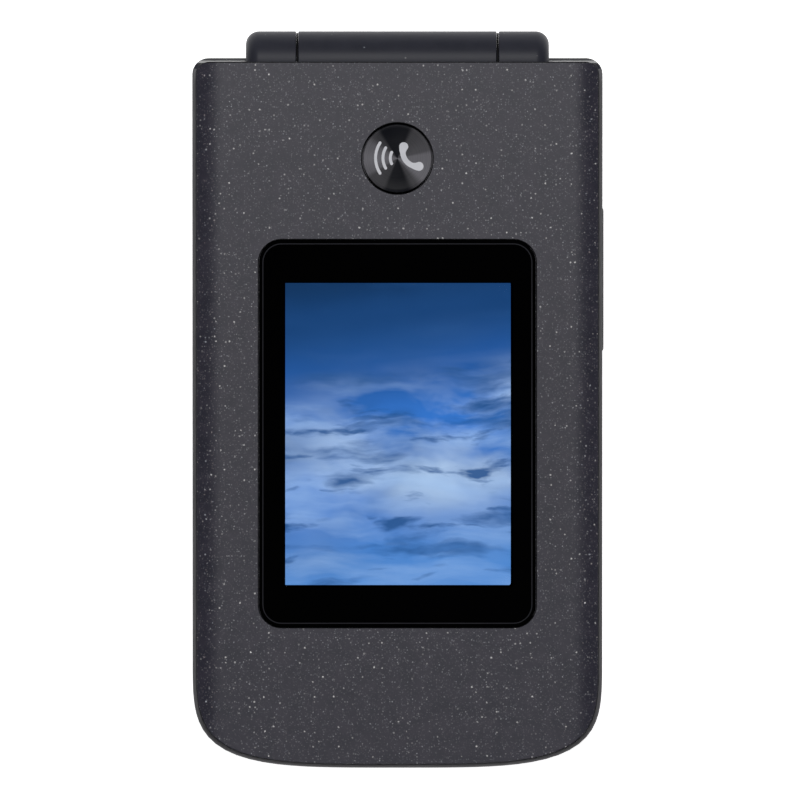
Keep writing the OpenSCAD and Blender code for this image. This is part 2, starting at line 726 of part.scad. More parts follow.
module hinge_bush() color("#c3c6cb") difference() {
    on_axis(bush_d / 2, -flex_split, tail_x - 0.5);
    on_axis(bush_bore / 2, -flex_split - 1, tail_x);
}

module hinge_flex() color("#b5772e") {
    on_axis(roll_d / 2, -flex_split + 0.15, tail_x + flex_w + 2.4);
    box([tail_x, tail_end_y, tail_z], [tail_x + flex_w, hinge_y - 0.8, tail_z + flex_t]);
    box([tail_x, tail_end_y, tail_z], [tail_x + flex_w, tail_end_y + flex_t, lid_board_z - 0.7]);
    box([tail_x - 0.4, tail_end_y - 1, lid_board_z - 0.8],
        [tail_x + flex_w + 0.4, tail_end_y + 0.6, lid_board_z]);
}

// Outer knuckle, round at its outer end
module outer_knuckle(side) {
    length = end_x - outer_x;
    translate([side * outer_x, hinge_y, hinge_z]) rotate([0, side * 90, 0])
        rotate_extrude() polygon(concat([[0, 0], [barrel_r, 0]],
            arc([barrel_r - barrel_end_r, length - barrel_end_r], barrel_end_r, 0, 90), [[0, length]]));
}

module base_front_cover() color("#3d3e43") difference() {
    union() {
        difference() {
            base_envelope(back_h, base_t);
            slab(base_outline(base_wall), back_h - 1, face_z);
        }
        intersection() {
            on_axis(trough_r + trough_wall, -outer_x - trough_wall, outer_x + trough_wall);
            base_envelope(back_h, base_t);
        }
        for (side = [-1, 1]) outer_knuckle(side);
        for (at = base_screws_at) pair(at) post([0, 0], base_boss_r, back_h, face_z + eps);
    }
    on_axis(trough_r, -outer_x, outer_x);
    on_axis(shaft_d / 2, outer_x - 1, end_x - shaft_end);
    on_axis(bush_d / 2, -flex_end - 0.4, -outer_x + 1);
    box([-flex_end, flex_y - 0.3, flex_z - 0.3], [-flex_split, flex_y + 0.8, hinge_z]);
    box([-flex_end, hinge_y - trough_r - trough_wall - 0.1, flex_z - 0.3],
        [-flex_split, flex_y + 0.8, flex_z + 0.6]);
    for (at = number_at) key_hole(at, key_w, key_len);
    for (at = side_at) key_hole(at, side_key_w, side_key_len);
    pad([0, nav_y], nav_w + 2 * nav_gap, nav_len + 2 * nav_gap, nav_r + nav_gap, face_z - 1, base_t + 1);
    post(mic_at, 0.5, face_z - 1, base_t + 1);
    translate([base_half - base_wall - 1, rocker_y, rocker_z]) rotate([90, 0, 90])
        linear_extrude(base_wall + 2) polygon(round_rect(rocker_len + 0.4, rocker_h + 0.4, rocker_h / 2));
    for (at = base_screws_at) pair(at) post([0, 0], base_screw_d / 2, back_h - 1, base_tips_z + 0.2);
    port_cuts();
}

module base_rear_cover() color("#3d3e43") difference() {
    union() {
        difference() {
            base_envelope(0, back_h);
            slab(base_outline(base_wall), back_t, back_h + 1);
        }
        pad([0, batt_y], well_w + 2 * well_wall, well_len + 2 * well_wall, 1.5, back_t - 0.5, well_top);
        intersection() {
            slab(base_outline(base_wall - eps), back_t - eps, ledge_z);
            box([-cover_w / 2 - 1, bottom_y, 0], [cover_w / 2 + 1, cover_top_y + 1, back_h]);
        }
        for (at = base_screws_at) pair(at) post([0, 0], base_boss_r, back_t - eps, back_h);
        for (y = [batt_y - well_len / 3, batt_y, batt_y + well_len / 3])
            box([-batt_w / 2, y - 0.6, well_top - eps], [batt_w / 2, y + 0.6, max(board_z, well_top)]);
    }
    pad([0, batt_y], well_w, well_len, 0.6, -1, well_z);
    box([-cover_w / 2 - fit, bottom_y - 1, -1], [cover_w / 2 + fit, cover_top_y + fit, cover_t + slack]);
    for (y = tongues_y)
        box([-cover_w / 2 - tongue_out - fit, y - cover_travel - 0.2, tongue_z[0]],
            [cover_w / 2 + tongue_out + fit, y + tongue_len + 0.2, tongue_z[1] + fit]);
    box([-contact_w / 2 - 0.4, batt_top_y - 1, ledge_z - 0.2],
        [contact_w / 2 + 0.4, batt_top_y + 2, well_top + 1]);
    pad(card_at, card_w + 0.3, card_len + 0.3, 0.4, well_z - 1, board_z + 1);
    for (i = [0, 1]) pair(base_screws_at[i]) {
        post([0, 0], head_ratio * base_screw_d / 2 + fit, -1, base_heads_z[i] + base_head_t);
        post([0, 0], base_screw_d / 2 + fit, -1, back_h + 1);
    }
    post([0, camera_y], camera_win_d / 2 + fit, -1, camera_win_z + camera_win_t + slack);
    post([0, camera_y], lens_d / 2 + 0.2, -1, back_t + 1);
    for (i = [-2:2])
        pad([speaker_at[0], speaker_at[1] + grille_pitch * i], grille_w, 0.9, 0.4, -1, back_t + 1);
    port_cuts();
}

module base_screws() color("#8d9097")
    for (i = [0, 1]) pair(base_screws_at[i]) screw(base_screw_d, base_head_t, base_heads_z[i], base_tips_z);

module battery_cover() color("#35363b") {
    intersection() {
        base_envelope(0, back_h);
        box([-cover_w / 2, bottom_y - 1, 0], [cover_w / 2, cover_top_y, cover_t]);
    }
    for (y = tongues_y)
        box([-cover_w / 2 - tongue_out, y, tongue_z[0]],
            [cover_w / 2 + tongue_out, y + tongue_len, tongue_z[1]]);
}

module battery() color("#23262b") difference() {
    pad([0, batt_y], batt_w, batt_len, 0.5, batt_z, batt_z + batt_t);
    pad([0, batt_y + 4], batt_w - 6, batt_len - 14, 1, batt_z - 1, batt_z + fit);
}

module battery_contacts() color("#caa24a") {
    block_z = ledge_z + fit;
    box([-contact_w / 2, batt_top_y + 0.6, block_z], [contact_w / 2, batt_top_y + 3.4, board_z]);
    for (x = [-3.2, 0, 3.2])
        box([x - 0.5, batt_top_y + 0.02, block_z + 0.4], [x + 0.5, batt_top_y + 0.7, block_z + 1.4]);
}

module main_board() color("#1f6b45") {
    difference() {
        slab(base_outline(base_wall + board_edge), board_z, board_top);
        box([-body_w, board_top_y, 0], [body_w, body_len, base_t]);
        for (at = base_screws_at) pair(at) post([0, 0], base_boss_r + 0.3, board_z - 1, base_t);
    }
    for (at = shield_at) pad(at, chip_w, chip_len, 0.3, board_z - 0.9, board_z + eps);
}

module shield_cans() color("#c9ccd0")
    for (i = [0, 1]) difference() {
        pad(shield_at[i], shield_size[i][0], shield_size[i][1], 0.4, board_z - shield_h, board_z);
        pad(shield_at[i], shield_size[i][0] - 0.4, shield_size[i][1] - 0.4, 0.3,
            board_z - shield_h + 0.2, board_z + 1);
    }

module usb_connector() color("#b9bdc3") {
    difference() {
        translate([0, usb_y + usb_len, usb_z]) rotate([90, 0, 0])
            linear_extrude(usb_len) polygon(round_rect(usb_w, usb_h, usb_h / 2 - eps));
        translate([0, usb_y + usb_len - 1, usb_z]) rotate([90, 0, 0])
            linear_extrude(usb_len) polygon(round_rect(usb_w - 0.6, usb_h - 0.6, usb_h / 2 - 0.3 - eps));
    }
    box([-3.3, usb_y + 1.4, usb_z - 0.35], [3.3, usb_y + usb_len - 0.5, usb_z + 0.35]);
}

module audio_jack() color("#151517") difference() {
    union() {
        box([jack_x, jack_y - jack_w / 2, board_z - jack_h],
            [jack_x + jack_depth + 1.6, jack_y + jack_w / 2, board_z]);
        translate([jack_x - 0.9, jack_y, jack_z]) rotate([0, 90, 0])
            cylinder(d = jack_bore + 2 * jack_wall, h = 1);
    }
    translate([jack_x - 1, jack_y, jack_z]) rotate([0, 90, 0]) cylinder(d = jack_bore, h = jack_depth + 1);
}

module card_holder() color("#c9ccd0") difference() {
    pad(card_at, card_w, card_len, 0.4, well_z - fit, board_z);
    box([card_at[0] - card_w / 2 + 1, card_at[1] - card_len, well_z - 1],
        [card_at[0] + card_w / 2 - 1, card_at[1] + card_len / 2 - 1.4, board_z - 0.5]);
}

module loudspeaker() color("#1b1c1e") {
    pad(speaker_at, speaker_w, speaker_len, 1, back_t + slack, board_z - shield_h - 0.3);
}

module camera_module() color("#141416") {
    pad([0, camera_y], camera_w, camera_w, 0.4, back_t + 1.4, board_z);
    post([0, camera_y], lens_d / 2, camera_win_z + camera_win_t + 0.25, back_t + 1.5);
}

module camera_window() color("#0a0a0c")
    post([0, camera_y], camera_win_d / 2, camera_win_z, camera_win_z + camera_win_t);

module microphone() color("#d0b060")
    pad(mic_at, 3.5, 2.7, 0.3, board_top, board_top + 1.1);

module antenna() color("#c98f3a")
    intersection() {
        slab(base_outline(base_wall + 0.6), ledge_z + 0.3, board_z - fit);
        box([antenna_x[0], bottom_y, 0], [antenna_x[1], antenna_top_y, base_t]);
    }

module vibration_motor() color("#c5c8cc") post(motor_at, motor_d / 2, board_z - motor_t, board_z);

// Sheet under all the keys, with notches for the bosses
module under_keys(z0, z1) {
    difference() {
        pad([0, (keymat_top_y + keymat_low_y) / 2], 2 * board_half - 0.6, keymat_top_y - keymat_low_y,
            2, z0, z1);
        for (at = base_screws_at) pair(at) post([0, 0], base_boss_r + 0.4, z0 - 1, z1 + 1);
    }
}

module dome_sheet() color("#d8d9d2") {
    under_keys(board_top, board_top + dome_sheet_t);
    z = board_top + dome_sheet_t;
    for (at = concat(number_at, side_at)) post(at, dome_d / 2, z - eps, z + dome_h);
    post([0, nav_y], 0.9, z - eps, z + dome_h);
    for (side = [-1, 1]) {
        post([side * (nav_w / 2 - 1.4), nav_y], 0.9, z - eps, z + dome_h);
        post([0, nav_y + side * (nav_len / 2 - 1.2)], 0.9, z - eps, z + dome_h);
    }
}

module keymat() color("#e4e4df") difference() {
    under_keys(keymat_z, keymat_z + keymat_t);
    pad([0, nav_y], nav_w + 2 * nav_gap + 1, nav_len + 2 * nav_gap + 1, nav_r, keymat_z - 1, keymat_z + 1);
}

module side_switches() color("#b9bdc3")
    for (y = [rocker_y - rocker_span / 2, rocker_y + rocker_span / 2])
        box([board_half - 1.2, y - 1.4, board_z - 1.5], [board_half - fit, y + 1.4, board_z]);

module volume_rocker() color("#2b2c30") {
    translate([base_inner - 0.3, rocker_y, rocker_z]) rotate([90, 0, 90])
        linear_extrude(base_wall + 0.3 + rocker_proud)
            polygon(round_rect(rocker_len, rocker_h, rocker_h / 2 - 0.2));
    rocker_plate(0.2, 0.6, -0.5, -0.3);
    rocker_plate(0.55, 1.15, 0.5, 0.4);
    for (side = [-1, 1]) translate([0, side * rocker_span / 2, 0])
        box([board_half + 0.25, rocker_y - 0.8, board_z - 1],
            [base_inner - 1.1, rocker_y + 0.8, board_z - 0.2]);
}

// Plate behind the rocker's cap: its depths inside the wall, and how far it reaches past the cap
module rocker_plate(near, far, past_y, past_z) {
    box([base_inner - far, rocker_y - rocker_len / 2 - past_y, rocker_z0 - past_z],
        [base_inner - near, rocker_y + rocker_len / 2 + past_y, rocker_z1 + past_z]);
}

module base_flex() color("#b5772e") {
    on_axis(roll_d / 2, -flex_end + 0.1, -flex_split - 0.15);
    x0 = -flex_end + 0.4;
    x1 = -flex_split - 0.3;
    plug_y = board_top_y - 0.2;
    box([x0, flex_y - flex_t / 2, flex_z], [x1, flex_y + flex_t / 2, hinge_z]);
    box([x0, plug_y - 0.6, flex_z], [x1, flex_y + flex_t / 2, flex_z + flex_t]);
    box([x0, plug_y - 1.1, board_top], [x1, plug_y, flex_z + flex_t]);
}

// Ring that rocks up and down on two feet, and carries the four-way ring on two studs
module nav_pivot() color("#cfcfd2") {
    foot_z = board_top + dome_sheet_t + fit;
    ring_z = foot_z + 0.35;
    difference() {
        post([0, nav_y], pivot_r + 0.7, ring_z, ring_z + 0.25);
        post([0, nav_y], pivot_r - 0.7, ring_z - 1, ring_z + 1);
    }
    for (side = [-1, 1]) {
        translate([0, side * pivot_r, 0]) box([-1, nav_y - 0.6, ring_z], [1, nav_y + 0.6, key_z - slack]);
        translate([side * pivot_r, 0, 0]) box([-0.6, nav_y - 1, foot_z], [0.6, nav_y + 1, ring_z + 0.2]);
    }
}

module nav_ring() color("#54565c") difference() {
    union() {
        pad([0, nav_y], nav_w, nav_len, nav_r, key_z, base_t + nav_proud);
        pad([0, nav_y], nav_w + 2 * nav_gap + 0.5, nav_len + 2 * nav_gap + 0.5, nav_r + 0.5,
            key_z, key_z + nav_rim_t);
    }
    post([0, nav_y], ok_d / 2 + 0.2, key_z - 1, base_t + 1);
    post([0, nav_y], ok_d / 2 + ok_rim + 0.3, key_z - 1, key_z + nav_rim_t + 0.3);
}

module ok_key() color("#6b6d73") {
    post([0, nav_y], ok_d / 2, key_z, base_t + nav_proud);
    post([0, nav_y], ok_d / 2 + ok_rim, key_z, key_z + nav_rim_t);
}

// Opening in the face for a key
module key_hole(at, w, h) {
    pad(at, w + 2 * key_gap, h + 2 * key_gap, key_r, face_z - 1, base_t + 1);
}

// Key cap with the rim that keeps it under the face
module key_cap(at, w, h) {
    pad(at, w, h, key_r, key_z, base_t + key_proud);
    pad(at, w + 2 * key_rim, h + 2 * key_rim, key_r, key_z, key_z + rim_t);
}

module number_key(i) color("#5d5f65") key_cap(number_at[i], key_w, key_len);
module side_key(i) color("#5d5f65") key_cap(side_at[i], side_key_w, side_key_len);

lid_cover();
lid_inner_cover();
outer_window();
outer_display();
front_button();
front_button_switch();
lid_board();
display_frame();
inner_display();
inner_window();
earpiece();
earpiece_mesh();
lid_magnet();
lid_bumpers();
lid_screws();
hinge_module();
hinge_flex();
base_front_cover();
base_rear_cover();
base_screws();
battery_cover();
battery();
battery_contacts();
main_board();
shield_cans();
usb_connector();
audio_jack();
card_holder();
loudspeaker();
camera_module();
camera_window();
microphone();
antenna();
vibration_motor();
dome_sheet();
keymat();
side_switches();
volume_rocker();
hinge_shaft();
hinge_bush();
base_flex();
nav_pivot();
nav_ring();
ok_key();
for (i = [0:3]) side_key(i);
for (i = [0:11]) number_key(i);
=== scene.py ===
import math
import bmesh
import bpy
from mathutils import Matrix


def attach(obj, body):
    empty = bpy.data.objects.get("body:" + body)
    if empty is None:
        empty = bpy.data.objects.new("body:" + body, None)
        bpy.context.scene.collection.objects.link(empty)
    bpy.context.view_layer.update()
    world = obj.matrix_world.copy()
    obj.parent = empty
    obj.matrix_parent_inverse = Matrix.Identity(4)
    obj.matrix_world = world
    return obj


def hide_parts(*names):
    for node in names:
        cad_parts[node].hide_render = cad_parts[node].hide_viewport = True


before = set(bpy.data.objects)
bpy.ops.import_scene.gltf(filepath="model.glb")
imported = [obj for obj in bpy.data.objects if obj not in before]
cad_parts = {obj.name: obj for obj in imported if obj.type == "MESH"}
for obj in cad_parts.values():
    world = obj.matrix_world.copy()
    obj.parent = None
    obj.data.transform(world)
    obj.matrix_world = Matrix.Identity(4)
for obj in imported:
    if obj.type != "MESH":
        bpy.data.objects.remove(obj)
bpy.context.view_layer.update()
print("frame loaded:", len(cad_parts), "nodes")

mm = 0.001


def newObject(name, data):
    made = bpy.data.objects.new(name, data)
    bpy.context.scene.collection.objects.link(made)
    return made


# The photograph looks straight down on the closed lid
view = {
    "picture": 800,            # pixels from side to side
    "pixel": 0.135,            # millimetres of the phone that one pixel shows
    "middle": (397.4, 399.5),  # pixel over the phone's origin
    "lens": 1600.0,
    "sensor": 36.0,
    "faceLevel": 19.0,
}


def placeCamera():
    half = view["picture"] / 2
    width = view["picture"] * view["pixel"]
    height = view["faceLevel"] + width / 2 / (view["sensor"] / 2 / view["lens"])
    camera = bpy.data.cameras.new("camera")
    camera.lens = view["lens"]
    camera.sensor_width = view["sensor"]
    camera.clip_start = 0.05
    camera.clip_end = 50
    holder = newObject("camera", camera)
    x = (half - view["middle"][0]) * view["pixel"]
    y = (view["middle"][1] - half) * view["pixel"]
    holder.location = (x * mm, y * mm, height * mm)
    bpy.context.scene.camera = holder


placeCamera()


def feed(tree, socket, value):
    # a link from another node's output, or a plain value
    if isinstance(value, bpy.types.NodeSocket):
        tree.links.new(value, socket)
    else:
        socket.default_value = value


def addNode(tree, kind, inputs=None, **settings):
    node = tree.nodes.new(kind)
    for name, value in settings.items():
        setattr(node, name, value)
    for name, value in (inputs or {}).items():
        feed(tree, node.inputs[name], value)
    return node


def mathNode(tree, operation, first, second=0.0, clamp=False):
    node = addNode(tree, "ShaderNodeMath", {0: first, 1: second}, operation=operation, use_clamp=clamp)
    return node.outputs[0]


def vectorNode(tree, operation, first, second):
    # the factor of SCALE has a socket of its own
    inputs = {0: first, 3 if operation == "SCALE" else 1: second}
    return addNode(tree, "ShaderNodeVectorMath", inputs, operation=operation).outputs[0]


def noiseNode(tree, place, scale, detail, roughness=0.5):
    return addNode(tree, "ShaderNodeTexNoise", {"Vector": place, "Scale": scale, "Detail": detail,
                                                "Roughness": roughness}).outputs


def colourMix(tree, factor, first, second, blend="MIX"):
    node = addNode(tree, "ShaderNodeMix", {0: factor, 6: first, 7: second}, data_type="RGBA",
                   blend_type=blend)
    return node.outputs[2]


def rampNode(tree, factor, stops, interpolation="LINEAR"):
    node = addNode(tree, "ShaderNodeValToRGB", {"Fac": factor})
    ramp = node.color_ramp
    ramp.interpolation = interpolation
    while len(ramp.elements) < len(stops):
        ramp.elements.new(0.5)
    for element, (place, colour) in zip(ramp.elements, stops):
        element.position = place
        element.color = colour if len(colour) == 4 else (*colour, 1)
    return node.outputs["Color"]


def greyRamp(tree, factor, stops, interpolation="LINEAR"):
    return rampNode(tree, factor, [(place, (level,) * 3) for place, level in stops], interpolation)


def piecePlace(tree):
    return addNode(tree, "ShaderNodeTexCoord").outputs["Object"]


def pieceAxes(tree):
    return addNode(tree, "ShaderNodeSeparateXYZ", {"Vector": piecePlace(tree)}).outputs


def distanceNode(tree, x, y):
    squares = [mathNode(tree, "MULTIPLY", each, each) for each in (x, y)]
    return mathNode(tree, "SQRT", mathNode(tree, "ADD", *squares))


# Sizes of the phone that several pieces share, in millimetres
phone = {
    "halfWidth": 27.75,
    "bottom": -49.8,
    "hingeY": 45.6,
    "hingeZ": 10.8,
    "shoulder": 0.6,
    "leanIn": 0.35,
    "leanHeight": 2.61,
    "endCurve": 15.0,
    "sideTaper": 0.05,
    "topCorner": 2.2,
    "baseTop": 10.6,
    "split": 5.0,
    "lidHalf": 27.2,
    "lidBottom": -49.2,
    "lidCurve": 14.4,
    "lidCorner": 1.8,
    "lidLow": 11.0,
    "lidSplit": 13.6,
    "lidTop": 19.0,
    "barrel": 4.2,
    "trough": 4.5,
    "troughWall": 1.0,
    "middleKnuckle": 13.4,
    "outerKnuckle": 13.7,
    "knuckleEdge": 0.12,
    "barrelEnd": 20.5,
    "fit": 0.1,
}


def around(x, y, radius, turn):
    # the point at this distance and turn, in degrees, from x and y
    return x + radius * math.cos(math.radians(turn)), y + radius * math.sin(math.radians(turn))


def arcPoints(x, y, radius, start, end, steps=8):
    return [around(x, y, radius, start + (end - start) * i / steps) for i in range(steps + 1)]


def halfOutline(half, top, bottom, corner, curve, steps=26):
    points = []
    for i in range(steps + 1):
        t = math.radians(90 - 90 * i / steps)
        c, s = math.cos(t), math.sin(t)
        reach = (c ** 4 + s ** 4) ** -0.25
        points.append(((half - phone["sideTaper"]) * reach * c, bottom + curve - curve * reach * s))
    points[0] = (0.0, bottom)
    # a few more points along the upper end, where the long edges begin to round
    return (points + arcPoints(half - corner, top - corner, corner, 0, 90) +
            [(half - corner - 0.4 * i, top) for i in range(1, 7)])


def phoneOutline(half, top, bottom, corner, curve):
    right = halfOutline(half, top, bottom, corner, curve)
    left = [(-x, y) for x, y in reversed(right[1:])]
    return right + left


def baseOutline(inset=0.0):
    return phoneOutline(phone["halfWidth"] - inset, phone["hingeY"] + phone["shoulder"] - inset,
                        phone["bottom"] + inset, max(phone["topCorner"] - inset, 0.4),
                        phone["endCurve"] - inset)


def lidOutline(inset=0.0):
    return phoneOutline(phone["lidHalf"] - inset, phone["hingeY"] - inset, phone["lidBottom"] + inset,
                        max(phone["lidCorner"] - inset, 0.4), phone["lidCurve"] - inset)


def roundRect(width, height, radius, at=(0.0, 0.0), steps=8):
    x, y = width / 2 - radius, height / 2 - radius
    points = []
    for start, sx, sy in ((0, 1, 1), (90, -1, 1), (180, -1, -1), (270, 1, -1)):
        points += arcPoints(at[0] + sx * x, at[1] + sy * y, radius, start, start + 90, steps)
    return points


def makeObject(name, vertices, faces):
    mesh = bpy.data.meshes.new(name)
    mesh.from_pydata(vertices, [], faces)
    body = bmesh.new()
    body.from_mesh(mesh)
    bmesh.ops.remove_doubles(body, verts=body.verts, dist=1e-5)
    bmesh.ops.recalc_face_normals(body, faces=body.faces)
    body.to_mesh(mesh)
    body.free()
    return newObject(name, mesh)


def loft(name, rings):
    # rings of points, joined one above the other and closed at both ends
    count = len(rings[0])
    vertices = [point for ring in rings for point in ring]
    faces = [tuple(range(count)), tuple((len(rings) - 1) * count + i for i in range(count))]
    for level in range(len(rings) - 1):
        for i in range(count):
            j = (i + 1) % count
            low, high = level * count, (level + 1) * count
            faces.append((low + i, low + j, high + j, high + i))
    return makeObject(name, vertices, faces)


def upright(low, high, reach=0.0):
    # levels of a shape with upright sides; reach is its inset or its radius
    return (reach, low), (reach, high)


def slab(name, outline, levels):
    # levels are pairs: how far inside the outline, and how high
    return loft(name, [[(x, y, z) for x, y in outline(inset)] for inset, z in levels])


def plate(name, width, height, radius, levels, at=(0.0, 0.0), steps=8):
    rings = []
    for inset, z in levels:
        ring = roundRect(width - 2 * inset, height - 2 * inset, max(radius - inset, 0.02), at, steps)
        rings.append([(x, y, z) for x, y in ring])
    return loft(name, rings)


def disc(name, levels, at=(0.0, 0.0), steps=96):
    # levels are pairs: radius and height
    rings = []
    for radius, z in levels:
        turns = [2 * math.pi * i / steps for i in range(steps)]
        rings.append([(at[0] + radius * math.cos(t), at[1] + radius * math.sin(t), z) for t in turns])
    return loft(name, rings)


def within(radius, levels):
    # levels that say how far inside this radius, turned into a disc's levels
    return [(radius - inset, z) for inset, z in levels]


def rods(radius, low, high, places, steps=96):
    return [disc("rod", upright(low, high, radius), at, steps) for at in places]


def block(name, low, high):
    (x0, y0, z0), (x1, y1, z1) = low, high
    return loft(name, [[(x0, y0, z), (x1, y0, z), (x1, y1, z), (x0, y1, z)] for z in (z0, z1)])


def barrelPiece(name, levels, steps=96):
    # levels are pairs: place along the hinge axis, and radius
    rings = []
    for x, radius in levels:
        turns = [2 * math.pi * i / steps for i in range(steps)]
        rings.append([(x, phone["hingeY"] + radius * math.cos(t), phone["hingeZ"] + radius * math.sin(t))
                      for t in turns])
    return loft(name, rings)


def barrelRod(start, end, radius):
    return barrelPiece("barrelRod", ((start, radius), (end, radius)))


def fillet(edge, z, upwards=True, steps=4):
    # levels that round an edge: inset grows as the height nears z
    levels = []
    for i in range(steps + 1):
        t = math.radians(90 * i / steps)
        inset = edge * (1 - math.cos(t))
        levels.append((inset, z - edge + edge * math.sin(t) if upwards else z + edge - edge * math.sin(t)))
    return levels if upwards else levels[::-1]


def roundedLevels(low, high, lowEdge, highEdge):
    return fillet(lowEdge, low, False) + fillet(highEdge, high)


def flared(low, high, flare):
    # cutter levels that leave a small chamfer at the upper edge of a hole
    return [(0.0, low), (0.0, high - flare), (-flare - 0.02, high + 0.02), (-flare - 0.02, high + 0.5)]


def merged(name, parts):
    body = bmesh.new()
    for part in parts:
        body.from_mesh(part.data)
        bpy.data.objects.remove(part)
    mesh = bpy.data.meshes.new(name)
    body.to_mesh(mesh)
    body.free()
    return newObject(name, mesh)


def evaluatedMesh(piece):
    graph = bpy.context.evaluated_depsgraph_get()
    graph.update()
    return bpy.data.meshes.new_from_object(piece.evaluated_get(graph))


def settled(piece):
    # the object's modifiers turned into plain mesh
    mesh = evaluatedMesh(piece)
    piece.modifiers.clear()
    piece.data = mesh
    return piece


def combine(piece, parts, operation="DIFFERENCE"):
    for part in parts:
        step = piece.modifiers.new("combine", "BOOLEAN")
        step.operation = operation
        step.solver = "EXACT"
        step.object = part
    settled(piece)
    for part in parts:
        bpy.data.objects.remove(part)
    return piece


def cutAll(piece, cutters):
    return combine(piece, [merged("cutter", cutters)])


def stroke(path, widths, levels):
    # a flat mark drawn along a path, round at both ends; widths are half the mark's width at each point
    left, right, last = [], [], len(path) - 1
    for i, ((x, y), half) in enumerate(zip(path, widths)):
        (ax, ay), (bx, by) = path[max(i - 1, 0)], path[min(i + 1, last)]
        turn = math.atan2(by - ay, bx - ax)
        left.append((x - half * math.sin(turn), y + half * math.cos(turn)))
        right.append((x + half * math.sin(turn), y - half * math.cos(turn)))
        if i == 0:
            first = arcPoints(x, y, half, math.degrees(turn) + 90, math.degrees(turn) + 270)
    far = arcPoints(*path[last], widths[last], math.degrees(turn) - 90, math.degrees(turn) + 90)
    outline = right[1:-1] + far + left[-2:0:-1] + first
    return loft("mark", [[(x, y, z) for x, y in outline] for z in levels])


def bar(start, end, half, levels):
    middle = ((start[0] + end[0]) / 2, (start[1] + end[1]) / 2)
    return stroke([start, middle, end], [half] * 3, levels)


def lettering(words, size, at, low, high):
    # a figure from the plain built-in typeface, as a thin plate
    curve = bpy.data.curves.new("figure", "FONT")
    curve.body = words
    curve.size = size
    curve.extrude = (high - low) / 2
    curve.align_x = "CENTER"
    curve.align_y = "CENTER"
    curve.resolution_u = 4
    holder = newObject("figure", curve)
    mesh = evaluatedMesh(holder)
    bpy.data.objects.remove(holder)
    mesh.transform(Matrix.Translation((*at, (low + high) / 2)))
    return newObject("figure", mesh)


def growTree(name, inputs):
    # every tree takes the shape that it copies, its finish, and inputs of its own
    tree = bpy.data.node_groups.new(name, "GeometryNodeTree")
    tree.interface.new_socket(name="Geometry", in_out="INPUT", socket_type="NodeSocketGeometry")
    for label, kind in {"Shape": "Object", "Finish": "Material", **inputs}.items():
        tree.interface.new_socket(name=label, in_out="INPUT", socket_type="NodeSocket" + kind)
    tree.interface.new_socket(name="Geometry", in_out="OUTPUT", socket_type="NodeSocketGeometry")
    return tree, tree.nodes.new("NodeGroupInput").outputs, tree.nodes.new("NodeGroupOutput")


def endTree(tree, given, out, points, turn=None):
    # copies of the given shape on the points, made real and given their finish
    shape = addNode(tree, "GeometryNodeObjectInfo", {"Object": given["Shape"]}).outputs["Geometry"]
    copies = addNode(tree, "GeometryNodeInstanceOnPoints", {"Points": points, "Instance": shape})
    if turn:
        tree.links.new(turn, copies.inputs["Rotation"])
    real = addNode(tree, "GeometryNodeRealizeInstances", {"Geometry": copies.outputs[0]})
    dressed = addNode(tree, "GeometryNodeSetMaterial",
                      {"Geometry": real.outputs[0], "Material": given["Finish"]})
    tree.links.new(dressed.outputs[0], out.inputs["Geometry"])
    return tree


def makeRowTree():
    # copies in a straight row
    tree, given, out = growTree("evenRow", {"Count": "Int", "Start": "Vector", "Step": "Vector"})
    line = addNode(tree, "GeometryNodeMeshLine", {"Count": given["Count"], "Start Location": given["Start"],
                                                  "Offset": given["Step"]})
    return endTree(tree, given, out, line.outputs[0])


def makeTurnedTree():
    # a copy on each point of the piece, each turned by its own chance amount about Z
    tree, given, out = growTree("turnedCopies", {"Most Turn": "Float", "Seed": "Int"})
    chance = addNode(tree, "FunctionNodeRandomValue", {3: given["Most Turn"], "Seed": given["Seed"]},
                     data_type="FLOAT")
    turn = addNode(tree, "ShaderNodeCombineXYZ", {"Z": chance.outputs[1]}).outputs["Vector"]
    return endTree(tree, given, out, given["Geometry"], turn)


def grown(name, tree, shape, look, inputs, points=()):
    # what the node tree makes of the shape, as a plain mesh
    mesh = bpy.data.meshes.new(name)
    mesh.from_pydata(points, [], [])
    made = newObject(name, mesh)
    step = made.modifiers.new("grow", "NODES")
    step.node_group = trees[tree]
    values = {"Shape": shape, "Finish": materials[look], **inputs}
    for item in trees[tree].interface.items_tree:
        if item.in_out == "INPUT" and item.name != "Geometry":
            step[item.identifier] = values[item.name]
    settled(made)
    bpy.data.objects.remove(shape)
    return made


def grownTurned(name, shape, look, seed, places):
    # a copy of the shape at each place, turned by chance up to a whole turn
    return grown(name, "turned", shape, look, {"Most Turn": 6.28, "Seed": seed},
                 [(x, y, 0) for x, y in places])


trees = {
    "row": makeRowTree(),
    "turned": makeTurnedTree(),
}


meshRules = {
    "merge": 2e-4,     # points nearer than this become one
    "shortest": 1e-4,  # edges shorter than this are dissolved
    "sharp": 32,       # degrees between faces, from which an edge stays sharp
}


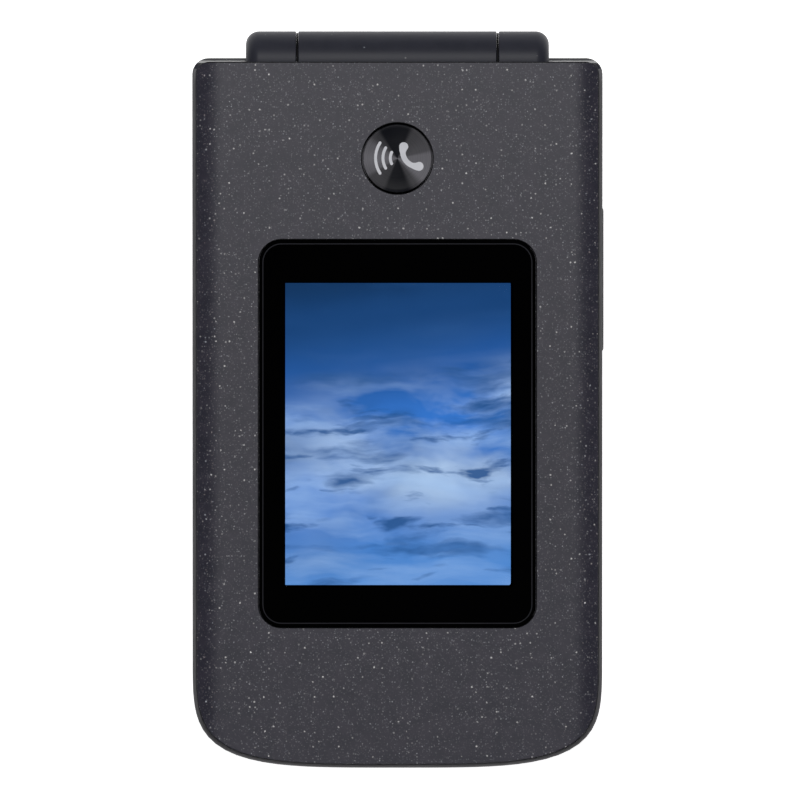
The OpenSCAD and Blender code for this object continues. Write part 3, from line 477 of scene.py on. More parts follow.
def finish(piece, body, looks, replaced=None, weighted=True):
    # looks name one or more materials; replaced names the CAD node that the piece stands for
    mesh = piece.data
    shape = bmesh.new()
    shape.from_mesh(mesh)
    bmesh.ops.remove_doubles(shape, verts=shape.verts, dist=meshRules["merge"])
    bmesh.ops.dissolve_degenerate(shape, dist=meshRules["shortest"], edges=shape.edges)
    shape.to_mesh(mesh)
    shape.free()
    mesh.transform(Matrix.Scale(mm, 4))
    mesh.polygons.foreach_set("use_smooth", [True] * len(mesh.polygons))
    mesh.set_sharp_from_angle(angle=math.radians(meshRules["sharp"]))
    if weighted:
        step = piece.modifiers.new("weighted", "WEIGHTED_NORMAL")
        step.keep_sharp = True
        settled(piece)
    piece.data.name = piece.name
    for look in (looks,) if isinstance(looks, str) else looks:
        if materials[look] not in piece.data.materials[:]:
            piece.data.materials.append(materials[look])
    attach(piece, body)
    if replaced:
        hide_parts(replaced)


def newGroup(name, inputs, outputs):
    # inputs are plain numbers with their usual values; outputs say their kind
    tree = bpy.data.node_groups.new(name, "ShaderNodeTree")
    for label, value in inputs.items():
        socket = tree.interface.new_socket(name=label, in_out="INPUT", socket_type="NodeSocketFloat")
        socket.default_value = value
    for label, kind in outputs.items():
        tree.interface.new_socket(name=label, in_out="OUTPUT", socket_type="NodeSocket" + kind)
    return tree, tree.nodes.new("NodeGroupInput").outputs, tree.nodes.new("NodeGroupOutput").inputs


def makeGrainGroup():
    # fine moulded grain: a height for bumps and a slow mottling for colour and gloss
    tree, given, out = newGroup("mouldedGrain", {"Fineness": 4000.0, "Mottling": 90.0},
                                {"Height": "Float", "Mottle": "Float"})
    place = piecePlace(tree)
    fine = noiseNode(tree, place, given["Fineness"], 3.0, 0.6)
    slow = noiseNode(tree, place, given["Mottling"], 4.0, 0.55)
    tree.links.new(fine["Fac"], out["Height"])
    tree.links.new(slow["Fac"], out["Mottle"])
    return tree


def makeFlakeGroup():
    # one layer of light flakes set in paint, black between them; colours differ from flake to flake
    tree, given, out = newGroup(
        "paintFlakes",
        {"Scale": 1000.0, "Radius": 0.12, "Share": 0.3, "Brightness": 0.3, "Raggedness": 0.0002},
        {"Glint": "Color"})
    place = piecePlace(tree)
    shift = vectorNode(tree, "SCALE", noiseNode(tree, place, 9000.0, 1.0)["Color"], given["Raggedness"])
    bent = vectorNode(tree, "ADD", place, shift)
    cells = addNode(tree, "ShaderNodeTexVoronoi", {"Vector": bent, "Scale": given["Scale"]},
                    feature="F1", voronoi_dimensions="3D").outputs
    apart = addNode(tree, "ShaderNodeSeparateColor", {"Color": cells["Color"]}).outputs
    near = mathNode(tree, "DIVIDE", cells["Distance"], given["Radius"])
    near = mathNode(tree, "SUBTRACT", 1.35, near, clamp=True)
    chosen = mathNode(tree, "LESS_THAN", apart["Red"], given["Share"])
    strength = mathNode(tree, "POWER", apart["Green"], 2.2)
    strength = mathNode(tree, "MULTIPLY", strength, given["Brightness"])
    mask = mathNode(tree, "MULTIPLY", mathNode(tree, "MULTIPLY", near, chosen), strength)
    tint = rampNode(tree, apart["Blue"],
                    [(0.0, (0.82, 0.88, 1.0)), (0.45, (1.0, 1.0, 1.0)), (0.8, (1.0, 0.97, 0.93)),
                     (1.0, (1.0, 0.86, 0.86))])
    tree.links.new(colourMix(tree, mask, (0, 0, 0, 1), tint), out["Glint"])
    return tree


# A cloudy evening sky: dark blue overhead, a pale bank of cloud, dark wisps below it
wisps = {
    "stretch": 3.9, "lean": 0.08, "detail": 7.0, "colour": (0.022, 0.09, 0.27, 1),
    "heights": ((0.0, 0.7), (0.2, 0.95), (0.6, 0.85), (0.72, 0.2)),
}
skyPicture = {
    "swirls": (3.0, 4.0, 0.11),     # scale, detail and strength of the bends
    "slope": -0.12,
    "roughness": 0.52,
    "blues": ((0.0, (0.08, 0.25, 0.64)), (0.22, (0.05, 0.19, 0.58)), (0.48, (0.038, 0.18, 0.6)),
              (0.66, (0.02, 0.1, 0.35)), (0.85, (0.01, 0.054, 0.18)), (1.0, (0.008, 0.038, 0.115))),
    # each layer is noise between two levels (edges), more or less of it by height and from left to right
    "layers": (
        {"scale": 1.2, "stretch": 2.2, "lean": 0.1, "shift": (4.4, 7.1, 0.0), "detail": 4.0,
         "edges": (0.46, 0.62), "colour": (0.02, 0.085, 0.26, 1),
         "heights": ((0.0, 0.2), (0.3, 0.8), (0.6, 0.7), (0.85, 0.25))},
        {"scale": 1.35, "stretch": 1.9, "lean": 0.12, "shift": (2.6, 0.7, 0.0), "detail": 5.0,
         "edges": (0.38, 0.6), "colour": (0.6, 0.78, 1.0, 1),
         "heights": ((0.02, 0.12), (0.16, 0.22), (0.3, 0.9), (0.52, 1.0), (0.62, 0.22), (0.7, 0.0)),
         "sideways": ((0.0, 0.3), (0.4, 0.85), (0.7, 1.0))},
        {"scale": 2.1, "stretch": 5.2, "lean": 0.1, "shift": (6.2, 3.3, 0.0), "detail": 7.0,
         "edges": (0.46, 0.72), "colour": (0.4, 0.6, 0.92, 1),
         "heights": ((0.0, 0.32), (0.3, 0.6), (0.55, 0.6), (0.68, 0.03), (0.85, 0.0))},
        {"scale": 2.4, "shift": (1.3, 8.8, 0.0), "edges": (0.55, 0.68), **wisps},
        {"scale": 4.2, "shift": (7.9, 2.2, 0.0), "edges": (0.58, 0.68), **wisps},
    ),
}


def makeSkyGroup():
    tree, given, out = newGroup("cloudySky", {"Left": -0.0153, "Bottom": -0.025, "Height": 0.0408},
                                {"Picture": "Color"})
    axes = pieceAxes(tree)
    places = [mathNode(tree, "SUBTRACT", axes[axis], given[start])
              for axis, start in (("X", "Left"), ("Y", "Bottom"))]
    across, up = [mathNode(tree, "DIVIDE", place, given["Height"]) for place in places]
    flat = addNode(tree, "ShaderNodeCombineXYZ", {"X": across, "Y": up}).outputs["Vector"]
    # slow swirls bend everything drawn after them
    scale, detail, strength = skyPicture["swirls"]
    swirl = noiseNode(tree, flat, scale, detail)["Color"]
    bend = vectorNode(tree, "SCALE", vectorNode(tree, "SUBTRACT", swirl, (0.5, 0.5, 0.5)), strength)
    bent = vectorNode(tree, "ADD", flat, bend)
    rise = mathNode(tree, "ADD", up, mathNode(tree, "MULTIPLY", across, skyPicture["slope"]))
    picture = rampNode(tree, rise, skyPicture["blues"], "EASE")
    for layer in skyPicture["layers"]:
        spot = addNode(tree, "ShaderNodeMapping", {
            "Vector": bent, "Scale": (1.0, layer["stretch"], 1.0), "Location": layer["shift"],
            "Rotation": (0, 0, layer["lean"])}).outputs["Vector"]
        noise = noiseNode(tree, spot, layer["scale"], layer["detail"], skyPicture["roughness"])
        cloud = greyRamp(tree, noise["Fac"], zip(layer["edges"], (0.0, 1.0)))
        cloud = mathNode(tree, "MULTIPLY", cloud, greyRamp(tree, rise, layer["heights"]))
        if "sideways" in layer:
            cloud = mathNode(tree, "MULTIPLY", cloud, greyRamp(tree, across, layer["sideways"]))
        picture = colourMix(tree, cloud, picture, layer["colour"])
    tree.links.new(picture, out["Picture"])
    return tree


def makePatchGroup():
    # 1 inside an upright rectangle and above a height, 0 elsewhere
    tree, given, out = newGroup("patch", {"X": 0.0, "Y": 0.0, "Half Width": 0.01, "Half Height": 0.01,
                                          "Above": 0.0}, {"Mask": "Float"})
    axes = pieceAxes(tree)
    mask = mathNode(tree, "GREATER_THAN", axes["Z"], given["Above"])
    for axis, half in (("X", "Half Width"), ("Y", "Half Height")):
        away = mathNode(tree, "ABSOLUTE", mathNode(tree, "SUBTRACT", axes[axis], given[axis]))
        mask = mathNode(tree, "MULTIPLY", mask, mathNode(tree, "LESS_THAN", away, given[half]))
    tree.links.new(mask, out["Mask"])
    return tree


def makeSpunGroup():
    # a disc turned on a lathe: rings of fine grooves, and painted highlight fans that spread from its middle
    tree, given, out = newGroup("spunDisc", {"Middle X": 0.0, "Middle Y": 0.03255, "Groove": 0.00012},
                                {"Fan": "Float", "Height": "Float"})
    axes = pieceAxes(tree)
    x, y = [mathNode(tree, "SUBTRACT", axes[axis], given["Middle " + axis]) for axis in ("X", "Y")]
    turn = mathNode(tree, "ARCTAN2", y, x)
    turn = mathNode(tree, "ADD", mathNode(tree, "DIVIDE", turn, 2 * math.pi), 0.5)
    # 0 and 1 are the left side, a quarter is the bottom, a half the right side; painted highlight at the
    # left and right, painted shade at the top and bottom
    paintedFan = greyRamp(tree, turn, (
        (0.0, 0.95), (0.07, 0.8), (0.1, 0.5), (0.17, 0.4), (0.2, 0.03), (0.3, 0.0), (0.345, 0.5),
        (0.4, 0.95), (0.52, 0.9), (0.545, 0.6), (0.66, 0.5), (0.695, 0.03), (0.83, 0.0), (0.86, 0.35),
        (0.93, 0.8), (1.0, 0.95)), "EASE")
    across = mathNode(tree, "DIVIDE", distanceNode(tree, x, y), given["Groove"])
    ring = addNode(tree, "ShaderNodeTexNoise", {"W": across, "Scale": 1.0, "Detail": 3.0},
                   noise_dimensions="1D")
    tree.links.new(paintedFan, out["Fan"])
    tree.links.new(ring.outputs["Fac"], out["Height"])
    return tree


groups = {
    "grain": makeGrainGroup(),
    "flakes": makeFlakeGroup(),
    "sky": makeSkyGroup(),
    "spun": makeSpunGroup(),
    "patch": makePatchGroup(),
}


def placeGroup(tree, name, values):
    node = tree.nodes.new("ShaderNodeGroup")
    node.node_tree = groups[name]
    for label, value in values.items():
        node.inputs[label].default_value = value
    return node.outputs


def placeGrain(tree, fineness, mottling):
    return placeGroup(tree, "grain", {"Fineness": fineness, "Mottling": mottling})


def newMaterial(name, plain):
    material = bpy.data.materials.new(name)
    material.use_nodes = True
    tree = material.node_tree
    shader = tree.nodes["Principled BSDF"]
    for label, value in plain.items():
        shader.inputs[label].default_value = value
    return material, tree, shader


def addBump(tree, shader, height, strength, distance=0.00002):
    bump = addNode(tree, "ShaderNodeBump", {"Strength": strength, "Distance": distance, "Height": height})
    tree.links.new(bump.outputs["Normal"], shader.inputs["Normal"])


def mouldedMaterial(name, low, high, roughness=(0.45, 0.6), metallic=0.0, fineness=4000.0,
                    mottling=90.0, bump=0.12, specular=0.5):
    # plain moulded, plated or printed surface: two near colours mottled together, grain and varied gloss
    material, tree, shader = newMaterial(name, {"Metallic": metallic, "Specular IOR Level": specular})
    grain = placeGrain(tree, fineness, mottling)
    colour = rampNode(tree, grain["Mottle"], [(0.3, low), (0.7, high)])
    gloss = greyRamp(tree, grain["Mottle"], zip((0.25, 0.75), roughness))
    tree.links.new(colour, shader.inputs["Base Color"])
    tree.links.new(gloss, shader.inputs["Roughness"])
    addBump(tree, shader, grain["Height"], bump)
    return material


paint = {
    "low": (0.018, 0.0175, 0.029),
    "high": (0.026, 0.0235, 0.037),
    "specular": 0.42,
    "roughness": 0.4,
    "mottling": 420.0,
    "flakes": (
        {"Scale": 5200.0, "Radius": 0.4, "Share": 0.5, "Brightness": 0.13},
        {"Scale": 3000.0, "Radius": 0.25, "Share": 0.5, "Brightness": 0.36},
        {"Scale": 1500.0, "Radius": 0.17, "Share": 0.45, "Brightness": 0.75},
    ),
}
shellFinish = {
    "low": (0.0255, 0.0265, 0.036),
    "high": (0.0295, 0.0305, 0.041),
    "specular": 0.1,
    "roughness": 0.4,
    "mottling": 300.0,
    "flakes": ({"Scale": 900.0, "Radius": 0.1, "Share": 0.12, "Brightness": 0.35},),
}


def flakePaint(name, values):
    # layers of light flakes over a mottled ground
    material, tree, shader = newMaterial(name, {"Specular IOR Level": values["specular"]})
    grain = placeGrain(tree, 2600.0, values["mottling"])
    colour = rampNode(tree, grain["Mottle"], [(0.36, values["low"]), (0.64, values["high"])])
    for flakes in values["flakes"]:
        colour = colourMix(tree, 1.0, colour, placeGroup(tree, "flakes", flakes)["Glint"], "ADD")
    tree.links.new(colour, shader.inputs["Base Color"])
    gloss = greyRamp(tree, grain["Mottle"],
                     [(0.2, values["roughness"] - 0.03), (0.8, values["roughness"] + 0.03)])
    tree.links.new(gloss, shader.inputs["Roughness"])
    addBump(tree, shader, grain["Height"], 0.04)
    return material


displays = {
    "lit": {"X": 0.00017, "Y": -0.00475, "Half Width": 0.01531, "Half Height": 0.02048, "Above": 0.0178},
    "main": {"X": 0.0, "Y": -0.008, "Half Width": 0.0184, "Half Height": 0.0245, "Above": -1.0},
}


def pictureMaterial():
    # the lit outer display: a picture inside its printed border
    material, tree, shader = newMaterial("screenPicture", {
        "Base Color": (0.0, 0.0, 0.0, 1), "Roughness": 0.3, "Emission Strength": 1.0,
        "Specular IOR Level": 0.0})
    sky = placeGroup(tree, "sky", {})
    lit = placeGroup(tree, "patch", displays["lit"])
    colour = colourMix(tree, lit["Mask"], (0.0, 0.0, 0.0, 1), sky["Picture"])
    tree.links.new(colour, shader.inputs["Emission Color"])
    return material


def mainScreen():
    # the inner display is off: a black printed border, and dark glass inside it
    material, tree, shader = newMaterial("mainScreen", {"Roughness": 0.12, "Specular IOR Level": 0.3})
    patch = placeGroup(tree, "patch", displays["main"])
    grain = placeGrain(tree, 400.0, 60.0)
    glass = rampNode(tree, grain["Mottle"], [(0.3, (0.009, 0.011, 0.016)), (0.7, (0.012, 0.015, 0.021))])
    tree.links.new(colourMix(tree, patch["Mask"], (0.002, 0.002, 0.0022, 1), glass),
                   shader.inputs["Base Color"])
    addBump(tree, shader, grain["Height"], 0.01)
    return material


def cameraGlass():
    # rings seen through the camera's window: lens, its edge, black print around them
    material, tree, shader = newMaterial("cameraGlass", {"Roughness": 0.12, "Specular IOR Level": 0.2})
    middle = vectorNode(tree, "ADD", piecePlace(tree), (0.0, -0.034, 0.0))
    axes = addNode(tree, "ShaderNodeSeparateXYZ", {"Vector": middle}).outputs
    share = mathNode(tree, "DIVIDE", distanceNode(tree, axes["X"], axes["Y"]), 0.004)
    colour = rampNode(tree, share, [(0.0, (0.004, 0.008, 0.03)), (0.3, (0.015, 0.03, 0.09)),
                                    (0.36, (0.16, 0.165, 0.18)), (0.42, (0.006, 0.006, 0.007)),
                                    (0.56, (0.2, 0.2, 0.21)), (0.6, (0.002, 0.002, 0.002))])
    tree.links.new(colour, shader.inputs["Base Color"])
    return material


labelPrint = {
    "paper": ((0.3, (0.56, 0.57, 0.57)), (0.7, (0.64, 0.65, 0.65))),
    "ink": (0.03, 0.035, 0.045, 1),
    "halfWidth": 0.0165,
    # the bands' places along the label, and half their height
    "bands": ((-0.029, 0.0012), (-0.012, 0.0004), (-0.006, 0.0004), (0.0, 0.0004), (0.0115, 0.0022)),
}


def labelPaper():
    # the battery's plain label: pale paper with darker printed bands
    material, tree, shader = newMaterial("labelPaper", {"Roughness": 0.5})
    grain = placeGrain(tree, 5000.0, 200.0)
    paper = rampNode(tree, grain["Mottle"], labelPrint["paper"])
    for y, half in labelPrint["bands"]:
        band = placeGroup(tree, "patch", {"X": 0.0, "Y": y, "Half Width": labelPrint["halfWidth"],
                                          "Half Height": half, "Above": -1.0})
        paper = colourMix(tree, band["Mask"], paper, labelPrint["ink"])
    tree.links.new(paper, shader.inputs["Base Color"])
    addBump(tree, shader, grain["Height"], 0.05)
    return material


def spunMetal():
    material, tree, shader = newMaterial("spunMetal", {"Roughness": 0.36, "Specular IOR Level": 0.04})
    spun = placeGroup(tree, "spun", {})
    # the colour follows the painted fans: near black for painted shade, light grey for painted highlight
    colour = rampNode(tree, spun["Fan"], [(0.0, (0.006, 0.0065, 0.009)), (0.5, (0.052, 0.051, 0.056)),
                                          (1.0, (0.155, 0.151, 0.168))])
    fine = greyRamp(tree, spun["Height"], [(0.3, 0.88), (0.7, 1.12)])
    tree.links.new(colourMix(tree, 1.0, colour, fine, "MULTIPLY"), shader.inputs["Base Color"])
    addBump(tree, shader, spun["Height"], 0.25)
    return material


def clearGlass():
    material, tree, shader = newMaterial("clearWindow", {"Base Color": (1, 1, 1, 1), "Roughness": 0.02,
                                                         "IOR": 1.2, "Transmission Weight": 1.0})
    addBump(tree, shader, placeGrain(tree, 30.0, 20.0)["Height"], 0.02)
    return material


moulded = {
    "lidSide": dict(low=(0.014, 0.014, 0.018), high=(0.018, 0.018, 0.022), roughness=(0.5, 0.6),
                    mottling=420.0, bump=0.05, specular=0.05),
    # painted shade: near black for the gaps along the lid's edges and openings
    "lidEdge": dict(low=(0.004, 0.004, 0.005), high=(0.007, 0.007, 0.008), roughness=(0.5, 0.6),
                    mottling=420.0, bump=0.05, specular=0.05),
    # light grey: a satin camera ring, and a painted highlight on the keypad half's rim bevel
    "satinRim": dict(low=(0.145, 0.143, 0.15), high=(0.175, 0.173, 0.18), roughness=(0.45, 0.52),
                     fineness=3000.0, mottling=120.0, bump=0.04, specular=0.03),
    # painted highlight: a silver band across the shoulders beside the barrel, where their edge catches light
    "silverTrim": dict(low=(0.31, 0.31, 0.315), high=(0.37, 0.37, 0.375), roughness=(0.4, 0.48),
                       fineness=3000.0, mottling=120.0, bump=0.04, specular=0.1),
    "greenPrint": dict(low=(0.03, 0.34, 0.07), high=(0.05, 0.42, 0.1), roughness=(0.35, 0.45),
                       mottling=500.0, bump=0.04),
    "redPrint": dict(low=(0.48, 0.02, 0.02), high=(0.58, 0.04, 0.03), roughness=(0.35, 0.45),
                     mottling=500.0, bump=0.04),
    "silverPrint": dict(low=(0.52, 0.53, 0.57), high=(0.64, 0.64, 0.68), roughness=(0.35, 0.45),
                        mottling=500.0, bump=0.04),
    "blackPrint": dict(low=(0.0005, 0.0005, 0.0006), high=(0.0009, 0.0009, 0.001), roughness=(0.4, 0.5),
                       specular=0.0, bump=0.02),
    "glossBlack": dict(low=(0.0005, 0.0005, 0.0006), high=(0.0009, 0.0009, 0.001), roughness=(0.02, 0.03),
                       fineness=30.0, mottling=20.0, specular=0.15, bump=0.02),
    "darkScreen": dict(low=(0.006, 0.007, 0.009), high=(0.008, 0.009, 0.012), roughness=(0.2, 0.25),
                       bump=0.02, specular=0.3),
    "keyPlastic": dict(low=(0.075, 0.076, 0.082), high=(0.088, 0.089, 0.096), roughness=(0.4, 0.5),
                       fineness=6000.0, bump=0.1),
    "ringMetal": dict(low=(0.13, 0.13, 0.14), high=(0.16, 0.16, 0.17), roughness=(0.5, 0.58),
                      metallic=0.6, fineness=6000.0, bump=0.04),
    "innerPlastic": dict(low=(0.02, 0.0205, 0.023), high=(0.026, 0.0265, 0.029), roughness=(0.45, 0.58),
                         bump=0.2),
    "blackPlastic": dict(low=(0.012, 0.012, 0.013), high=(0.02, 0.02, 0.021), roughness=(0.4, 0.55)),
    "rubber": dict(low=(0.013, 0.013, 0.014), high=(0.02, 0.02, 0.021), roughness=(0.7, 0.85), bump=0.3),
    "clearRubber": dict(low=(0.68, 0.68, 0.65), high=(0.78, 0.78, 0.75), roughness=(0.5, 0.65)),
    "steel": dict(low=(0.35, 0.355, 0.37), high=(0.46, 0.465, 0.48), roughness=(0.28, 0.4),
                  metallic=1.0, bump=0.05),
    "tin": dict(low=(0.5, 0.51, 0.52), high=(0.6, 0.61, 0.62), roughness=(0.3, 0.42),
                metallic=1.0, bump=0.08),
    "gold": dict(low=(0.72, 0.5, 0.2), high=(0.82, 0.6, 0.27), roughness=(0.25, 0.35),
                 metallic=1.0, bump=0.04),
    "circuitBoard": dict(low=(0.01, 0.075, 0.035), high=(0.018, 0.12, 0.058), roughness=(0.3, 0.45),
                         mottling=1200.0, bump=0.3),
    "flexFilm": dict(low=(0.36, 0.16, 0.035), high=(0.48, 0.22, 0.05), roughness=(0.3, 0.4),
                     mottling=400.0),
    "domeFilm": dict(low=(0.62, 0.62, 0.56), high=(0.72, 0.72, 0.66), roughness=(0.35, 0.5)),
    "wrap": dict(low=(0.018, 0.02, 0.025), high=(0.028, 0.03, 0.036), roughness=(0.35, 0.5), bump=0.1),
}
materials = {
    "flakePaint": flakePaint("flakePaint", paint),
    "shellPaint": flakePaint("shellPaint", shellFinish),
    "screenPicture": pictureMaterial(),
    "mainScreen": mainScreen(),
    "cameraGlass": cameraGlass(),
    "labelPaper": labelPaper(),
    "spunMetal": spunMetal(),
    "clearWindow": clearGlass(),
    **{name: mouldedMaterial(name, **values) for name, values in moulded.items()},
}
print("materials:", len(materials))


# Lid half: two shells, outer window, round button, main window, ear slot, bumpers and screws
lid = {
    "wall": 1.2,
    "face": 17.4,
    "innerFace": 12.4,
    "edge": 6.5,
    "edgeMiddle": 23.8,
    "endEdge": 0.12,
    "insets": (0.0, 0.015, 0.04, 0.075, 0.12, 0.14, 0.4, 0.7, 1.0, 1.4, 1.8, 2.3, 2.9, 3.5),
    "screws": ((23.9, 41.5), (20.5, -42.0)),
    "screwHead": 11.5,
    "screw": {"head": 1.26, "thick": 0.8, "shaft": 0.7, "tip": 16.4},
    "boss": 2.0,
    "bossLow": 13.2,
    "bores": (0.7, 0.8),    # radius of the screws' bores in the outer and in the inner shell
    "tilt": 0.75,           # faces that point up less than this have the side's finish
    "gapShadeLow": 17.8,        # and above this height they get painted gap shade instead
    # faces this near the hinge end get the painted gap shade too
    "endShadeStrip": 0.17,
    "lowEdge": 0.45,
    "canister": 3.0,
    "bush": 2.65,
}
window = {
    "size": (37.3, 52.2),
    "radius": 3.0,
    "at": (0.0, -4.6),
    "levels": (18.03, 18.95),
    "edge": 0.06,
    "floor": 18.0,
    "opening": (30.9, 41.2, 0.4),    # width, height and corner radius
    "openingAt": (0.17, -4.75),
    # outer and inner inset of the line painted as the glass bevel's highlight
    "highlightLine": (0.42, 0.56),
    "view": (32.6, 42.9, 1.0),
}
button = {
    "at": (0.0, 32.55),
    "radius": 4.6,
    "hole": 4.82,
    "levels": (16.65, 17.35, 19.0),
    "rim": 0.7,
    "edge": 0.14,
    "marks": (0.07, 0.022),          # bottom and top of the marks, below the rim
    "handset": ((1.625, 0.048), 0.86, 38),    # place on the button, size and turn
    "waves": ((1.75, 26), (2.75, 30), (3.75, 33)),
    "waveMiddle": (0.8, 0.05),
    "waveHalf": 0.2,
}
handsetShape = {
    "middle": 1.6,     # from the mark's middle to the middle of the grip's bow
    "bow": 2.3,
    "sweep": 58,       # degrees from the grip's middle to its ends
    "grip": 0.42,      # half its width at the middle
    "ends": 0.3,       # what the ends add to that
}
mainWindow = {
    "size": (46.0, 62.0),
    "radius": 2.9,
    "at": (0.0, -8.0),
    "levels": (11.05, 11.95),
    "opening": (38.8, 51.0, 1.0),
    "edge": 0.15,
}
earpiece = {
    "at": (0.0, -44.5),
    "slot": (8.0, 1.2),
    "mesh": (11.9, 12.1),
    "spare": 0.7,      # the weave is wider than the slot by this
    "pitch": 0.34,
    "wire": 0.14,
}
bumper = {
    "radius": 2.2,
    "levels": (10.72, 11.45),
    "edge": 0.3,
}


def pairs(places):
    return [(side * x, y) for x, y in places for side in (-1, 1)]


def tagFaces(piece, index, test):
    # a second material for the faces whose middle and direction pass the test
    for polygon in piece.data.polygons:
        if test(polygon.center, polygon.normal):
            polygon.material_index = index


def lidHeight(x, inset):
    side = max(abs(x) - lid["edgeMiddle"], 0.0)
    near = max(lid["endEdge"] - inset, 0.0)
    drop = lid["edge"] - math.sqrt(lid["edge"] ** 2 - side ** 2)
    return phone["lidTop"] - drop - lid["endEdge"] + math.sqrt(lid["endEdge"] ** 2 - near ** 2)


def makeLidCover():
    split, face, top, fit = phone["lidSplit"], lid["face"], phone["lidTop"], phone["fit"]
    rings = [[(x, y, z) for x, y in lidOutline(inset)] for inset, z in ((0.1, split), (0.0, split + 0.1))]
    rings += [[(x, y, lidHeight(x, inset)) for x, y in lidOutline(inset)] for inset in lid["insets"]]
    cover = loft("lidCover", rings)
    places = pairs(lid["screws"])
    combine(cover, [slab("hollow", lidOutline, upright(split - 1, face, lid["wall"]))])
    combine(cover, rods(lid["boss"], lid["bossLow"], face + 0.3, places), "UNION")
    (w, h), low, end = window["size"], window["floor"], phone["barrelEnd"] + 0.3
    cutAll(cover, [
        barrelRod(-end, end, phone["trough"]),
        plate("pocket", w + 2 * fit, h + 2 * fit, window["radius"] + fit, flared(low, top, 0.1),
              window["at"]),
        disc("hole", within(button["hole"], flared(face - 1, top, 0.1)), button["at"]),
    ])
    combine(cover, [plate("view", *window["view"], upright(face - 1, low + 0.2), window["at"])])
    combine(cover, rods(lid["bores"][0], lid["bossLow"] - 1, face - 0.8, places, 24))
    # the narrow upright faces around the lid and its openings take the darker side finish; their upper edges
    # and the strip at the hinge end get near-black painted gap shade
    tilt, low, end = lid["tilt"], lid["gapShadeLow"], phone["hingeY"] - lid["endShadeStrip"]
    tagFaces(cover, 1, lambda at, way: way.z < tilt)
    tagFaces(cover, 2, lambda at, way: at.z > low and way.z < tilt or at.y > end)
    finish(cover, "lid", ("flakePaint", "lidSide", "lidEdge"), "lid_cover")


def knuckleEdge(x, way=1):
    # the soft edge of a knuckle whose end is at x
    radius, edge = phone["barrel"], phone["knuckleEdge"]
    return [(x, radius - edge), (x + way * edge * 0.3, radius - edge * 0.3), (x + way * edge, radius)]


def makeLidInnerCover():
    low, split, face, fit = phone["lidLow"], phone["lidSplit"], lid["innerFace"], phone["fit"]
    end, trough, middle = phone["barrelEnd"], phone["trough"], phone["middleKnuckle"]
    places = pairs(lid["screws"])
    cover = slab("lidInnerCover", lidOutline, roundedLevels(low, split, lid["lowEdge"], 0.1))
    combine(cover, [slab("hollow", lidOutline, upright(face, split + 1, lid["wall"]))])
    wall = barrelRod(-end - 1.3, end + 1.3, trough + phone["troughWall"])
    combine(wall, [slab("room", lidOutline, upright(low + 0.5, 17.1, lid["wall"] + 0.1))], "INTERSECT")
    combine(cover, [wall], "UNION")
    combine(cover, rods(lid["boss"], low + 0.5, lid["bossLow"], places), "UNION")
    combine(cover, [barrelRod(-end - 0.3, end + 0.3, trough)])
    knuckle = barrelPiece("middleKnuckle", knuckleEdge(-middle) + knuckleEdge(middle, -1)[::-1])
    filler = barrelRod(-middle, middle, trough + 0.5)
    combine(filler, [block("part", (-20, 30, low), (20, phone["hingeY"] - 1.2, split + 2))], "INTERSECT")
    combine(knuckle, [filler], "UNION")
    combine(cover, [knuckle], "UNION")
    slotWidth, slotHeight = earpiece["slot"]
    cuts = [
        barrelRod(-1.5, middle + 1, lid["canister"]),
        barrelRod(-middle - 1, -3.0, lid["bush"]),
        plate("slot", slotWidth, slotHeight, slotHeight / 2 - 0.01,
              ((-0.14, low - 0.5), (-0.14, low), (0.0, low + 0.14), (0.0, face + 1)), earpiece["at"]),
        plate("meshSeat", slotWidth + 1, slotHeight + 1, 1.0, upright(earpiece["mesh"][0], 14),
              earpiece["at"]),
    ]
    cuts += rods(bumper["radius"] + 0.05, low - 1, bumper["levels"][1], places)
    cutAll(cover, cuts)
    (w, h), at, high = mainWindow["size"], mainWindow["at"], mainWindow["levels"][1]
    combine(cover, [plate("pocket", w + 2 * fit, h + 2 * fit, mainWindow["radius"] + fit,
                          ((-0.12, low - 0.5), (-0.12, low - 0.01), (0, low + 0.11), (0, high)), at)])
    combine(cover, [plate("view", *mainWindow["opening"], upright(11.5, face + 1), at)])
    combine(cover, rods(lid["screw"]["head"] + 0.1, 11.2, 12.3, places, 32))
    combine(cover, rods(lid["bores"][1], 11.2, 14.5, places, 24))
    axisY, axisZ, reach = phone["hingeY"], phone["hingeZ"], phone["barrel"] + 0.03
    tagFaces(cover, 1, lambda at, way: math.hypot(at.y - axisY, at.z - axisZ) < reach)
    finish(cover, "lid", ("innerPlastic", "shellPaint"), "lid_inner_cover")


def makeWindow():
    # one sheet of glass: black all round, where it is printed, and clear over the display
    (w, h), (low, high), edge = window["size"], window["levels"], window["edge"]
    radius, at, opening, openingAt = window["radius"], window["at"], window["opening"], window["openingAt"]
    border = plate("windowBorder", w, h, radius,
                   ((0.05, low), (0, low + 0.05), (0, high - edge), (edge, high)), at, 12)
    combine(border, [plate("opening", *opening, upright(low - 1, high + 1), openingAt)])
    finish(border, "lid", "glossBlack", "outer_window")
    glass = plate("windowGlass", *opening, upright(low, high, 0.01), openingAt)
    tagFaces(glass, 1, lambda at, way: abs(way.z) < 0.9)
    finish(glass, "lid", ("clearWindow", "blackPrint"), "outer_window")
    # a thin grey line just inside the window's edge: a painted highlight where the glass's bevel catches
    # light
    outer, inner = window["highlightLine"]
    line = plate("windowHairline", w, h, radius, upright(high, high + 0.006, outer), at, 12)
    combine(line, [plate("room", w, h, radius, upright(high - 1, high + 1, inner), at, 12)])
    finish(line, "lid", "lidSide", "outer_window")


def handset(at, size, turn, levels):
    # a telephone handset: a bowed grip, thicker at the ear and at the mouth
    path, widths = [], []
    middle = around(*at, handsetShape["middle"] * size, turn)
    for i in range(17):
        share = i / 8 - 1
        path.append(around(*middle, handsetShape["bow"] * size, turn + 180 + handsetShape["sweep"] * share))
        widths.append(size * (handsetShape["grip"] + handsetShape["ends"] * max(abs(share) * 2.2 - 1.2, 0)))
    return stroke(path, widths, levels)


